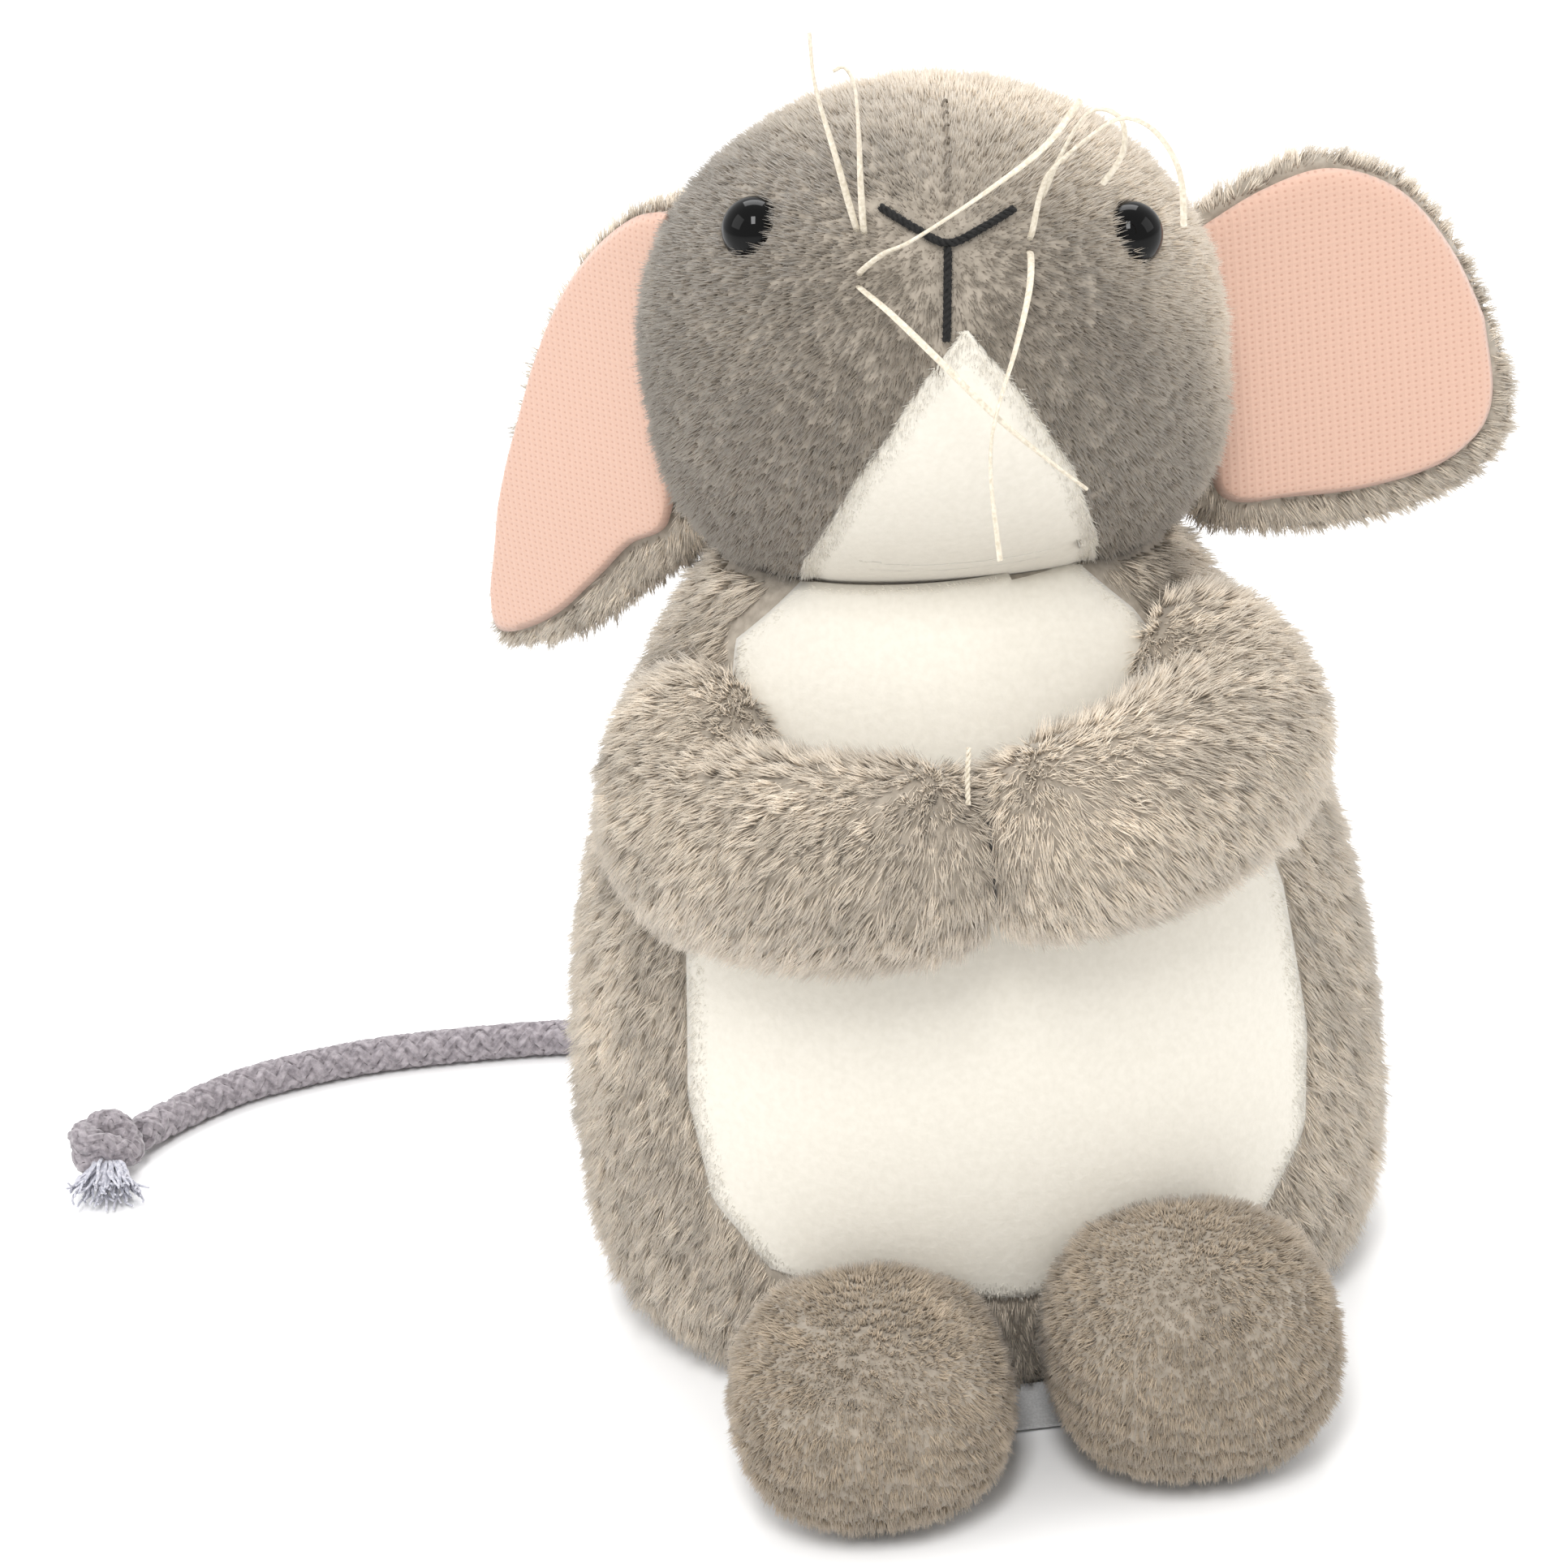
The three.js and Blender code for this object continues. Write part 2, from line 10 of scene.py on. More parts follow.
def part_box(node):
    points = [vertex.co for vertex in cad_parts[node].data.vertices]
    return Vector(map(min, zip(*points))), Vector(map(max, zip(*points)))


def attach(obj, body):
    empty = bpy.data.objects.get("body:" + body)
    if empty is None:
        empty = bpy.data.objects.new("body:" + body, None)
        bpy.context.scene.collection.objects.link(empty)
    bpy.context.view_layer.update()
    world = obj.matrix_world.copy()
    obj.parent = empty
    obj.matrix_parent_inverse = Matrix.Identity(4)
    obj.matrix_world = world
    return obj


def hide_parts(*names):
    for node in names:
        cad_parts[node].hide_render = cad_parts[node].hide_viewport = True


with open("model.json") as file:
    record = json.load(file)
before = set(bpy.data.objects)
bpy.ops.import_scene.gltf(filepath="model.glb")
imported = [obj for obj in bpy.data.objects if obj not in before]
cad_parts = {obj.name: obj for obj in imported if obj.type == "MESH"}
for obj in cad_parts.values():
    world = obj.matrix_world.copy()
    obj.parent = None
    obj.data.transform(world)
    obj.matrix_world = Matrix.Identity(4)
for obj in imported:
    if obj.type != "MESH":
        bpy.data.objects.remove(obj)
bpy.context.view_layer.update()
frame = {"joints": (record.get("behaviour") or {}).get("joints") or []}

joints = {joint["name"]: joint for joint in frame["joints"]}
bpy.ops.object.select_all(action="DESELECT")


# Camera, floor and light.
# The mouse sits on a pale table under a broad studio softbox, seen from the front and a little
# above, with the camera leaning so that the body stands askew and the eyes are level.
aim = Vector((-0.0258, -0.006, 0.086))
distance = 0.75
azimuth, elevation, lean = math.radians(-2.0), math.radians(23.0), math.radians(5.5)
back = Vector((math.sin(azimuth) * math.cos(elevation),
               -math.cos(azimuth) * math.cos(elevation),
               math.sin(elevation)))
right = Vector((math.cos(azimuth), math.sin(azimuth), 0))
above = back.cross(right)
leaning_right = right * math.cos(lean) - above * math.sin(lean)
leaning_up = right * math.sin(lean) + above * math.cos(lean)
facing = Matrix((leaning_right, leaning_up, back)).transposed()
bpy.ops.object.camera_add(location=aim + back * distance, rotation=facing.to_euler())
camera = bpy.context.object
camera.data.lens = 116
camera.data.sensor_width = 36
bpy.context.scene.camera = camera
bpy.context.scene.view_settings.view_transform = "Standard"

bpy.ops.mesh.primitive_plane_add(size=8, location=(0, 0, -0.0002))
table = bpy.context.object
table.name = "table_top"
paint = bpy.data.materials.new("pale_table")
paint.use_nodes = True
paint.node_tree.nodes["Principled BSDF"].inputs["Base Color"].default_value = (0.93, 0.93, 0.93, 1)
paint.node_tree.nodes["Principled BSDF"].inputs["Roughness"].default_value = 0.75
table.data.materials.append(paint)


def softbox(place, width, height, power):
    bpy.ops.object.light_add(type="AREA", location=place)
    light = bpy.context.object
    light.data.shape = "RECTANGLE"
    light.data.size = width
    light.data.size_y = height
    light.data.energy = power
    light.rotation_euler = (Vector(place) - Vector((0, 0, 0.1))).to_track_quat("Z", "Y").to_euler()


softbox((-0.15, -1.0, 1.35), 0.35, 0.7, 14)
softbox((-1.3, -0.3, 1.0), 1.0, 1.0, 6)
softbox((1.4, -0.4, 0.9), 1.0, 1.0, 5)
softbox((0.1, 0.9, 1.5), 1.2, 0.8, 15)
room = bpy.data.worlds.new("studio")
room.use_nodes = True
room.node_tree.nodes["Background"].inputs["Color"].default_value = (1, 1, 1, 1)
room.node_tree.nodes["Background"].inputs["Strength"].default_value = 0.9
bpy.context.scene.world = room


# Tail.
# A braided cotton cord, 5.6 mm thick and about 17 cm long, sewn into the back seam. It comes down
# to the table, lies on it in one curve, and ends in an overhand knot with the yarns frayed out.
cord_diameter = 0.0056
tail_route = [Vector(p) * 0.001 for p in (
    (0, 48.6, 8.4), (-0.8, 52.5, 7.8), (-3.5, 57.5, 6.4), (-8, 64, 4.2), (-15, 71, 3.2),
    (-25, 77.5, 2.9), (-38, 83, 2.9), (-52, 87, 2.9), (-67, 90, 2.9), (-82, 91, 2.9),
    (-96, 90.8, 2.9), (-109, 88.4, 2.9), (-121, 83.8, 2.9), (-131, 76, 2.9), (-137, 68.5, 3.6),
)]


def smooth_line(points, step):
    """Points along a Catmull-Rom curve through the given points, one every step metres."""
    ends = [2 * points[0] - points[1], *points, 2 * points[-1] - points[-2]]
    dense = []
    for a, b, c, d in zip(ends, ends[1:], ends[2:], ends[3:]):
        for i in range(24):
            t = i / 24
            dense.append(0.5 * ((2 * b) + (c - a) * t + (2 * a - 5 * b + 4 * c - d) * t * t
                                + (3 * b - a - 3 * c + d) * t ** 3))
    dense.append(points[-1])
    line = np.array(dense)
    gone = np.concatenate([[0], np.cumsum(np.linalg.norm(np.diff(line, axis=0), axis=1))])
    count = max(2, round(gone[-1] / step) + 1)
    at = np.linspace(0, gone[-1], count)
    return np.stack([np.interp(at, gone, line[:, k]) for k in range(3)], 1), gone[-1]


def frames_along(line):
    """Two directions across the line at each of its points, which turn with it and never twist."""
    tangent = np.gradient(line, axis=0)
    tangent /= np.linalg.norm(tangent, axis=1)[:, None]
    across = np.zeros_like(line)
    start = np.cross(tangent[0], (0.3, 0.2, 1.0))
    across[0] = start / np.linalg.norm(start)
    for i in range(1, len(line)):
        side = across[i - 1] - tangent[i] * (across[i - 1] @ tangent[i])
        across[i] = side / np.linalg.norm(side)
    return across, np.cross(tangent, across)


def mesh_piece(name, vertices, faces):
    mesh = bpy.data.meshes.new(name)
    mesh.from_pydata(np.asarray(vertices).tolist(), [], [list(map(int, f)) for f in faces])
    mesh.update()
    piece = bpy.data.objects.new(name, mesh)
    bpy.context.scene.collection.objects.link(piece)
    return piece


def tube(line, radius, sides):
    """Vertices and faces of a closed tube along a line; radius may differ from point to point."""
    radius = np.broadcast_to(radius, len(line))
    across, up = frames_along(line)
    angle = np.arange(sides) * 2 * math.pi / sides
    rings = (line[:, None] + radius[:, None, None]
             * (across[:, None] * np.cos(angle)[None, :, None] + up[:, None] * np.sin(angle)[None, :, None]))
    faces = []
    for i in range(len(line) - 1):
        for k in range(sides):
            j = (k + 1) % sides
            faces.append((i * sides + k, i * sides + j, (i + 1) * sides + j, (i + 1) * sides + k))
    faces.append(tuple(range(sides - 1, -1, -1)))
    faces.append(tuple((len(line) - 1) * sides + k for k in range(sides)))
    return rings.reshape(-1, 3), faces


def gather(parts):
    """One list of vertices and one of faces, from several."""
    vertices, faces, start = [], [], 0
    for v, f in parts:
        vertices.append(v)
        faces += [[i + start for i in face] for face in f]
        start += len(v)
    return np.concatenate(vertices), faces


def braid(line_points, diameter, carriers=6, lead=2.3):
    """A round braid: as many yarns wound one way as the other, each over two and under two."""
    line, length = smooth_line(line_points, diameter / 10)
    across, up = frames_along(line)
    gone = np.linspace(0, length, len(line))
    parts = [tube(line[::4], diameter * 0.33, 10)]
    yarn = diameter * 0.17
    for way in (1, -1):
        for k in range(carriers):
            turn = way * 2 * math.pi * gone / (lead * diameter) + 2 * math.pi * k / carriers
            weave = np.sin(turn * carriers / 2 * way + math.pi * (0.5 if way > 0 else 1.5) + k * math.pi)
            reach = diameter * (0.36 + 0.045 * weave)
            middle = (line + across * (np.cos(turn) * reach)[:, None]
                      + up * (np.sin(turn) * reach)[:, None])
            parts.append(tube(middle, yarn, 6))
    return gather(parts)


def cloth_material(name, dark, light, scale, roughness=0.9, sheen=0.3, bump=0.3):
    """Woven or twisted yarn: two tones mottled by noise, with a fine bump, rough and a little sheen."""
    material = bpy.data.materials.new(name)
    material.use_nodes = True
    nodes, links = material.node_tree.nodes, material.node_tree.links
    shader = nodes["Principled BSDF"]
    place = nodes.new("ShaderNodeTexCoord")
    speckle = nodes.new("ShaderNodeTexNoise")
    speckle.inputs["Scale"].default_value = scale
    speckle.inputs["Detail"].default_value = 5
    ramp = nodes.new("ShaderNodeValToRGB")
    ramp.color_ramp.elements[0].position = 0.32
    ramp.color_ramp.elements[0].color = (*dark, 1)
    ramp.color_ramp.elements[1].position = 0.68
    ramp.color_ramp.elements[1].color = (*light, 1)
    relief = nodes.new("ShaderNodeBump")
    relief.inputs["Strength"].default_value = bump
    relief.inputs["Distance"].default_value = 0.0003
    links.new(place.outputs["Object"], speckle.inputs["Vector"])
    links.new(speckle.outputs["Fac"], ramp.inputs["Fac"])
    links.new(speckle.outputs["Fac"], relief.inputs["Height"])
    links.new(ramp.outputs["Color"], shader.inputs["Base Color"])
    links.new(relief.outputs["Normal"], shader.inputs["Normal"])
    shader.inputs["Roughness"].default_value = roughness
    shader.inputs["Sheen Weight"].default_value = sheen
    return material


cord_yarn = cloth_material("mauve_cotton", (0.15, 0.132, 0.145), (0.36, 0.325, 0.345), 900)
tail = mesh_piece("tail_braid", *braid(tail_route, cord_diameter))
tail.data.materials.append(cord_yarn)

knot_middle = Vector(((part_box("tail_knot")[0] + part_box("tail_knot")[1]) / 2))
knot_route = [knot_middle + Vector(p) * 0.001 for p in (
    (3.2, 4.2, -1.2), (-0.5, 3.4, 0.2), (-3.6, 0.8, 1.6), (-2.6, -2.2, 1.8), (0.8, -2.6, 0.2),
    (3.4, -0.2, -1.6), (2.6, 2.2, 1.0), (-0.4, 2.4, 2.6), (-3.2, -0.6, -0.6), (-2.2, -3.0, -2.0),
    (0.4, -3.4, -1.8),
)]
knot = mesh_piece("tail_overhand_knot", *braid(knot_route, 0.0048))
knot.data.materials.append(cord_yarn)

frayed_yarn = cloth_material("frayed_cotton", (0.33, 0.34, 0.40), (0.62, 0.61, 0.66), 1500)
rng = np.random.default_rng(5)
tuft_start = knot_middle + Vector((0.0002, -0.0034, -0.0018))
yarns = []
for i in range(90):
    spread = rng.uniform(-1, 1)
    lift = rng.uniform(-0.9, 1)
    reach = rng.uniform(0.0075, 0.0115) * (1 - 0.15 * abs(spread))
    points = []
    for t in (0, 0.3, 0.6, 0.85, 1):
        wave = rng.normal(0, 0.00035, 3) * (t > 0)
        x = spread * (0.0012 + 0.0052 * t) + wave[0]
        y = -reach * t + wave[1]
        z = lift * (0.0011 + 0.0012 * t) - 0.0008 * t + wave[2]
        points.append(Vector((tuft_start.x + x, tuft_start.y + y, max(tuft_start.z + z, 0.0006))))
    line, _ = smooth_line(points, 0.0011)
    yarns.append(tube(line, np.linspace(0.00042, 0.00018, len(line)), 5))
tuft = mesh_piece("tail_frayed_end", *gather(yarns))
tuft.data.materials.append(frayed_yarn)
for piece, node in ((tail, "tail_cord"), (knot, "tail_knot"), (tuft, "tail_tuft")):
    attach(piece, "tail")
    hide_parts(node)


# Body.
# A pear-shaped bag of grey plush, stuffed tight, with a hollow at the top for the head. The pile
# is about 5 mm long, combed down, and its tips gather into light tufts with darker gaps between;
# the gaps are darkened partly by painted shade on the pile's roots and on the backing.
body_outline = [(0, 0), (30, 0), (46, 0), (54.5, 3.5), (59, 12), (60.5, 27), (60, 46), (57, 66), (52, 84),
                (45.5, 100), (38, 113), (28, 123), (13, 129), (0, 130)]
body_depth_ratio = 0.82
head_centre = np.array((1.6, -4, 152.5)) * 0.001
head_half = dict(width=41.5, nose=46.0, nape=38.5, height=35.5)
cheek_depth, cheek_power = 0.0385, 3.5
head_turn = (Matrix.Rotation(math.radians(-3.5), 3, "Z") @ Matrix.Rotation(math.radians(6), 3, "Y")
             @ Matrix.Rotation(math.radians(-33.5), 3, "X"))
head_axes = np.array(head_turn)


def cheek_width(height):
    """How much wider the head is than an ellipsoid, at a height against its middle."""
    down = np.clip(-height / cheek_depth, 0, 0.97)
    return (1 - down ** cheek_power) ** (1 / cheek_power) / np.sqrt(1 - down ** 2)


def clear_of_head(place, gap):
    """Move what lies inside the head out to its surface, plus a gap in mm."""
    reach = place - head_centre
    narrow = reach.copy()
    narrow[:, 0] /= cheek_width(reach[:, 2])
    own = narrow @ head_axes * 1000
    depth = np.where(own[:, 1] < 0, head_half["nose"], head_half["nape"])
    share = np.sqrt((own[:, 0] / (head_half["width"] + gap)) ** 2 + (own[:, 1] / (depth + gap)) ** 2
                    + (own[:, 2] / (head_half["height"] + gap)) ** 2)
    return np.where(share[:, None] < 1, head_centre + reach / np.maximum(share, 0.05)[:, None], place), share


def vertex_array(piece, what="co"):
    values = np.empty(len(piece.data.vertices) * 3)
    piece.data.vertices.foreach_get(what, values)
    return values.reshape(-1, 3)


def move_vertices(piece, places):
    piece.data.vertices.foreach_set("co", np.asarray(places, float).ravel())
    piece.data.update()


def round_form(name, columns, rows, shape):
    """A closed round skin: a sphere whose every vertex is moved to shape(direction)."""
    bpy.ops.object.select_all(action="DESELECT")
    bpy.ops.mesh.primitive_uv_sphere_add(segments=columns, ring_count=rows, radius=1)
    piece = bpy.context.object
    piece.name = name
    move_vertices(piece, shape(vertex_array(piece)))
    bpy.ops.object.shade_smooth()
    return piece


def body_surface(direction):
    outline, _ = smooth_line([Vector((x, 0, z)) * 0.001 for x, z in body_outline], 0.0005)
    down = np.arccos(np.clip(direction[:, 2], -1, 1)) / math.pi
    at = (1 - down) * (len(outline) - 1)
    width = np.interp(at, np.arange(len(outline)), outline[:, 0])
    height = np.interp(at, np.arange(len(outline)), outline[:, 2])
    turn = np.arctan2(direction[:, 1], direction[:, 0])
    place = np.stack([width * np.cos(turn), body_depth_ratio * width * np.sin(turn),
                      np.maximum(height, 0)], 1)
    return clear_of_head(place, 0.8)[0]


def scatter(piece, per_mm2, rng):
    """Random places all over a skin, with the way out of the skin at each."""
    mesh = piece.data
    mesh.calc_loop_triangles()
    corners = np.empty(len(mesh.loop_triangles) * 3, np.int32)
    mesh.loop_triangles.foreach_get("vertices", corners)
    corners = corners.reshape(-1, 3)
    place, outward = vertex_array(piece), vertex_array(piece, "normal")
    a, b, c = (place[corners[:, k]] for k in range(3))
    area = np.linalg.norm(np.cross(b - a, c - a), axis=1) / 2
    chosen = rng.choice(len(corners), int(area.sum() * 1e6 * per_mm2), p=area / area.sum())
    u, v = rng.random((2, len(chosen)))
    over = u + v > 1
    u[over], v[over] = 1 - u[over], 1 - v[over]
    share = np.stack([1 - u - v, u, v], 1)[:, :, None]
    points = (place[corners[chosen]] * share).sum(1)
    normals = (outward[corners[chosen]] * share).sum(1)
    return points, normals / np.linalg.norm(normals, axis=1)[:, None]


def mottle(points, scale, seed):
    """A smooth wandering value from -1 to 1, for tufts and worn patches."""
    rng = np.random.default_rng(seed)
    value = np.zeros(len(points))
    for _ in range(7):
        way = rng.normal(size=3)
        value += np.sin(points @ way * scale + rng.uniform(0, 2 * math.pi))
    return value / 3.2


def unit(vectors):
    return vectors / np.maximum(np.linalg.norm(vectors, axis=1), 1e-9)[:, None]


def along_skin(way, normals):
    return unit(way - normals * (way * normals).sum(1)[:, None])


def fast_mesh(name, vertices, loops, sizes):
    mesh = bpy.data.meshes.new(name)
    mesh.vertices.add(len(vertices))
    mesh.vertices.foreach_set("co", vertices.ravel())
    mesh.loops.add(len(loops))
    mesh.loops.foreach_set("vertex_index", loops.astype(np.int32))
    mesh.polygons.add(len(sizes))
    mesh.polygons.foreach_set("loop_start", np.concatenate([[0], np.cumsum(sizes)[:-1]]).astype(np.int32))
    mesh.polygons.foreach_set("use_smooth", np.ones(len(sizes), bool))
    mesh.update(calc_edges=True)
    piece = bpy.data.objects.new(name, mesh)
    bpy.context.scene.collection.objects.link(piece)
    return piece


def pile(name, points, normals, lay, length, width, rng, clump=10, gather_tips=0.55, stand=0.4,
         jitter=0.16, tone_and_painted_light=None, bent=True, grain=1.0):
    """Pile as closed, tapering tufts of fibre: a thin spike each, leaning together in clumps."""
    count = len(points)
    seeds = rng.choice(count, max(1, count // clump), replace=False)
    tree = kdtree.KDTree(len(seeds))
    for k, i in enumerate(seeds):
        tree.insert(points[i], k)
    tree.balance()
    nearest = np.array([tree.find(p)[1] for p in points])
    leader = seeds[nearest]
    lay = along_skin(lay, normals)
    rise = np.clip(stand + rng.normal(0, 0.09, count) + 0.08 * rng.normal(size=len(seeds))[nearest], 0.05, 1)
    way = unit(normals * rise[:, None] + lay * (1 - rise)[:, None] + rng.normal(0, jitter, (count, 3)))
    reach = (np.broadcast_to(length, count) * rng.uniform(0.78, 1.12, count))[:, None]
    tips = points + way * reach
    tips = tips + (tips[leader] - tips) * (gather_tips * rng.uniform(0.5, 1.15, count))[:, None]
    start = points - normals * 0.0004
    across = unit(np.cross(way, normals) + 1e-9)
    other = unit(np.cross(way, across))
    thick = (np.broadcast_to(width, count) * rng.uniform(0.75, 1.3, count))[:, None]
    turn = rng.uniform(0, 2 * math.pi, count)
    rings = []
    if bent:
        middle = start + (normals * (rise + 0.22)[:, None] + way * 0.55) * reach * 0.42
        middle = middle + (tips - middle) * 0.12
        levels = ((start, 1.0), (middle, 0.85))
    else:
        levels = ((start, 1.0),)
    for centre, size in levels:
        for k in range(3):
            angle = (turn + 2 * math.pi * k / 3)[:, None]
            rings.append(centre + (across * np.cos(angle) + other * np.sin(angle)) * thick * size / 2)
    vertices = np.stack([*rings, tips], 1)
    if bent:
        pattern = [2, 1, 0] + [0, 1, 4, 3, 1, 2, 5, 4, 2, 0, 3, 5] + [3, 4, 6, 4, 5, 6, 5, 3, 6]
        sizes = [3, 4, 4, 4, 3, 3, 3]
        height = np.array([0, 0, 0, 0.5, 0.5, 0.5, 1.0])
        sideways = np.array([0.15, 0.5, 0.85, 0.2, 0.5, 0.8, 0.5])
    else:
        pattern = [2, 1, 0] + [0, 1, 3, 1, 2, 3, 2, 0, 3]
        sizes = [3, 3, 3, 3]
        height = np.array([0, 0, 0, 1.0])
        sideways = np.array([0.15, 0.5, 0.85, 0.5])
    vertices[:, :, 2] = np.maximum(vertices[:, :, 2], 0.0003)
    each = vertices.shape[1]
    loops = (np.arange(count)[:, None] * each + np.array(pattern)).ravel()
    piece = fast_mesh(name, vertices.reshape(-1, 3), loops, np.tile(sizes, count))
    shade = grain * (rng.normal(0, 0.16, count) + 0.22 * rng.normal(size=len(seeds))[nearest])
    # The tone given may carry painted light and shade as well as the pile's own tone.
    if tone_and_painted_light is not None:
        shade = shade + tone_and_painted_light
    for label, values in (("along", np.tile(height, count)), ("tone_and_painted_light", np.repeat(shade, each))):
        piece.data.attributes.new(label, "FLOAT", "POINT").data.foreach_set("value", values)
    cells = math.ceil(math.sqrt(count))
    row, column = np.divmod(np.arange(count), cells)
    u = (column[:, None] + 0.1 + 0.8 * sideways) / cells
    v = (row[:, None] + 0.1 + 0.8 * height) / cells
    flat = np.stack([u, v], 2).reshape(-1, 2)
    piece.data.uv_layers.new(name="OFBake").data.foreach_set("uv", flat[loops].ravel())
    return piece


def plush(name, root, middle, tip, spread=0.5):
    """Pile darker at the root, painted shade deep in the pile, and lighter at the tip; each tuft of its own tone,
    plus any painted light and shade passed in with it.
    """
    material = bpy.data.materials.new(name)
    material.use_nodes = True
    nodes, links = material.node_tree.nodes, material.node_tree.links
    shader = nodes["Principled BSDF"]
    along = nodes.new("ShaderNodeAttribute")
    along.attribute_name = "along"
    tone_and_painted_light = nodes.new("ShaderNodeAttribute")
    tone_and_painted_light.attribute_name = "tone_and_painted_light"
    # The dark root colour is painted shade for the depth of the pile.
    ramp = nodes.new("ShaderNodeValToRGB")
    ramp.color_ramp.elements[0].color = (*root, 1)
    ramp.color_ramp.elements[1].color = (*tip, 1)
    ramp.color_ramp.elements.new(0.5).color = (*middle, 1)
    value = nodes.new("ShaderNodeMapRange")
    value.inputs["From Min"].default_value = -1
    value.inputs["From Max"].default_value = 1
    value.inputs["To Min"].default_value = 1 - spread
    value.inputs["To Max"].default_value = 1 + spread
    shade = nodes.new("ShaderNodeHueSaturation")
    links.new(along.outputs["Fac"], ramp.inputs["Fac"])
    links.new(tone_and_painted_light.outputs["Fac"], value.inputs["Value"])
    links.new(ramp.outputs["Color"], shade.inputs["Color"])
    links.new(value.outputs["Result"], shade.inputs["Value"])
    links.new(shade.outputs["Color"], shader.inputs["Base Color"])
    shader.inputs["Roughness"].default_value = 0.78
    shader.inputs["Specular IOR Level"].default_value = 0.25
    shader.inputs["Sheen Weight"].default_value = 0.25
    shader.inputs["Sheen Roughness"].default_value = 0.5
    return material


def skin_tree(piece):
    piece.data.calc_loop_triangles()
    triangles = [tuple(t.vertices) for t in piece.data.loop_triangles]
    return BVHTree.FromPolygons([v.co for v in piece.data.vertices], triangles)


def outside(tree, points, margin=0.0):
    """Which points lie outside a closed skin by more than the margin."""
    answer = np.ones(len(points), bool)
    for i, p in enumerate(points):
        hit, normal, _, far = tree.find_nearest(p, 0.03)
        if hit is not None:
            side = (Vector(p) - hit).dot(normal)
            answer[i] = side > 0 and far > margin
    return answer


def within(points, outline, front):
    """Which points of the front, nearer than the front limit, lie inside an outline in X and Z."""
    x, z = points[:, 0] * 1000, points[:, 2] * 1000
    inside = np.zeros(len(points), bool)
    for (x1, z1), (x2, z2) in zip(outline, outline[1:] + outline[:1]):
        crosses = (z1 > z) != (z2 > z)
        with np.errstate(divide="ignore", invalid="ignore"):
            meets = (x2 - x1) * (z - z1) / (z2 - z1 + 1e-12) + x1
        inside ^= crosses & (x < meets)
    return inside & (points[:, 1] < front)


belly_outline = [(-21, 124), (18, 124), (26, 116), (31, 108), (39, 92), (44.5, 72), (46.5, 50), (45, 34),
                 (37, 23), (0, 20), (-35, 23), (-43, 34), (-45, 50), (-43, 72), (-38, 92), (-33, 108),
                 (-31, 116)]
# The backing is coloured as dark as the pile's roots: painted shade that shows in the gaps between tufts.
grey_backing_painted_shade = cloth_material("grey_backing_painted_shade", (0.26, 0.225, 0.18), (0.38, 0.33, 0.27), 700)
long_grey_pile = plush("long_grey_pile", (0.40, 0.34, 0.27), (0.65, 0.565, 0.46), (0.89, 0.79, 0.66))
body_skin = round_form("body_backing", 128, 96, body_surface)
body_skin.data.materials.append(grey_backing_painted_shade)
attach(body_skin, "body")
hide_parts("body_shell", "body_stuffing", "pellet_bag")
body_tree = skin_tree(body_skin)


# Arms.
# Two stuffed sleeves of the same grey plush, sewn on at the shoulders and bent round to the front,
# where the rounded hands meet. Their pile is combed down and away from the middle.
arm_radii = (12.5, 14, 14.5, 14.5, 13.5, 12.5)
arm_paths = {
    "right": [(-31, -11, 105), (-37, -21, 97.5), (-37.5, -33, 91.5), (-27, -44, 90.5), (-13, -49.5, 91),
              (10, -50.5, 91.5)],
    "left": [(29, -11, 105), (35, -21, 101.5), (36.5, -33, 97), (28, -44, 95), (13, -49.5, 92.5),
             (-10, -50.5, 91.5)],
}
arm_trees, arm_skins = [], []
for name, side in (("right", -1), ("left", 1)):
    path = [Vector(p) * 0.001 for p in arm_paths[name]]
    middle, length = smooth_line(path, 0.0008)
    gone = np.linspace(0, length, len(middle))
    full = np.interp(gone / length, np.linspace(0, 1, len(arm_radii)), arm_radii) * 0.001
    near_end = np.minimum(gone, length - gone)
    radius = full * np.sqrt(np.clip(1 - (np.clip(full - near_end, 0, None) / full) ** 2, 0.002, 1))
    skin = mesh_piece(f"{name}_arm_backing", *tube(middle, radius, 48))
    places = vertex_array(skin)
    hand = np.clip((0.012 - side * places[:, 0]) / 0.012, 0, 1) ** 2
    places[:, 2] += (0.0915 - places[:, 2]) * 0.22 * hand
    places[:, 1] += (-0.0505 - places[:, 1]) * 0.22 * hand
    places[:, 0] = side * np.maximum(side * places[:, 0], 0.0002)
    move_vertices(skin, places)
    skin.data.polygons.foreach_set("use_smooth", np.ones(len(skin.data.polygons), bool))
    skin.data.materials.append(grey_backing_painted_shade)
    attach(skin, "body")
    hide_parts(f"{name}_arm_sleeve", f"{name}_arm_stuffing")
    arm_skins.append(skin)
    arm_trees.append(skin_tree(skin))

for name, side, skin in zip(("right", "left"), (-1, 1), arm_skins):
    rng = np.random.default_rng(31 + side)
    points, normals = scatter(skin, 5.9, rng)
    ok = outside(body_tree, points, 0.0002) & (clear_of_head(points, 1.4)[1] > 1)
    ok &= side * points[:, 0] > 0.0003
    points, normals = points[ok], normals[ok]
    lay = np.tile((0.75 * side, -0.25, -0.9), (len(points), 1))
    lay[:, 0] *= np.clip(np.abs(points[:, 0]) / 0.018, 0.05, 1)
    # The 0.15 * (1 + side) term makes the left arm's pile lighter than the right: painted light.
    tufts = pile(f"{name}_arm_pile", points, normals, lay, 0.0040, 0.00024, rng, clump=16,
                 tone_and_painted_light=0.2 * mottle(points, 260, 3) + 0.16 * mottle(points, 80, 14) + 0.15 * (1 + side), stand=0.36, bent=False)
    tufts.data.materials.append(long_grey_pile)
    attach(tufts, "body")


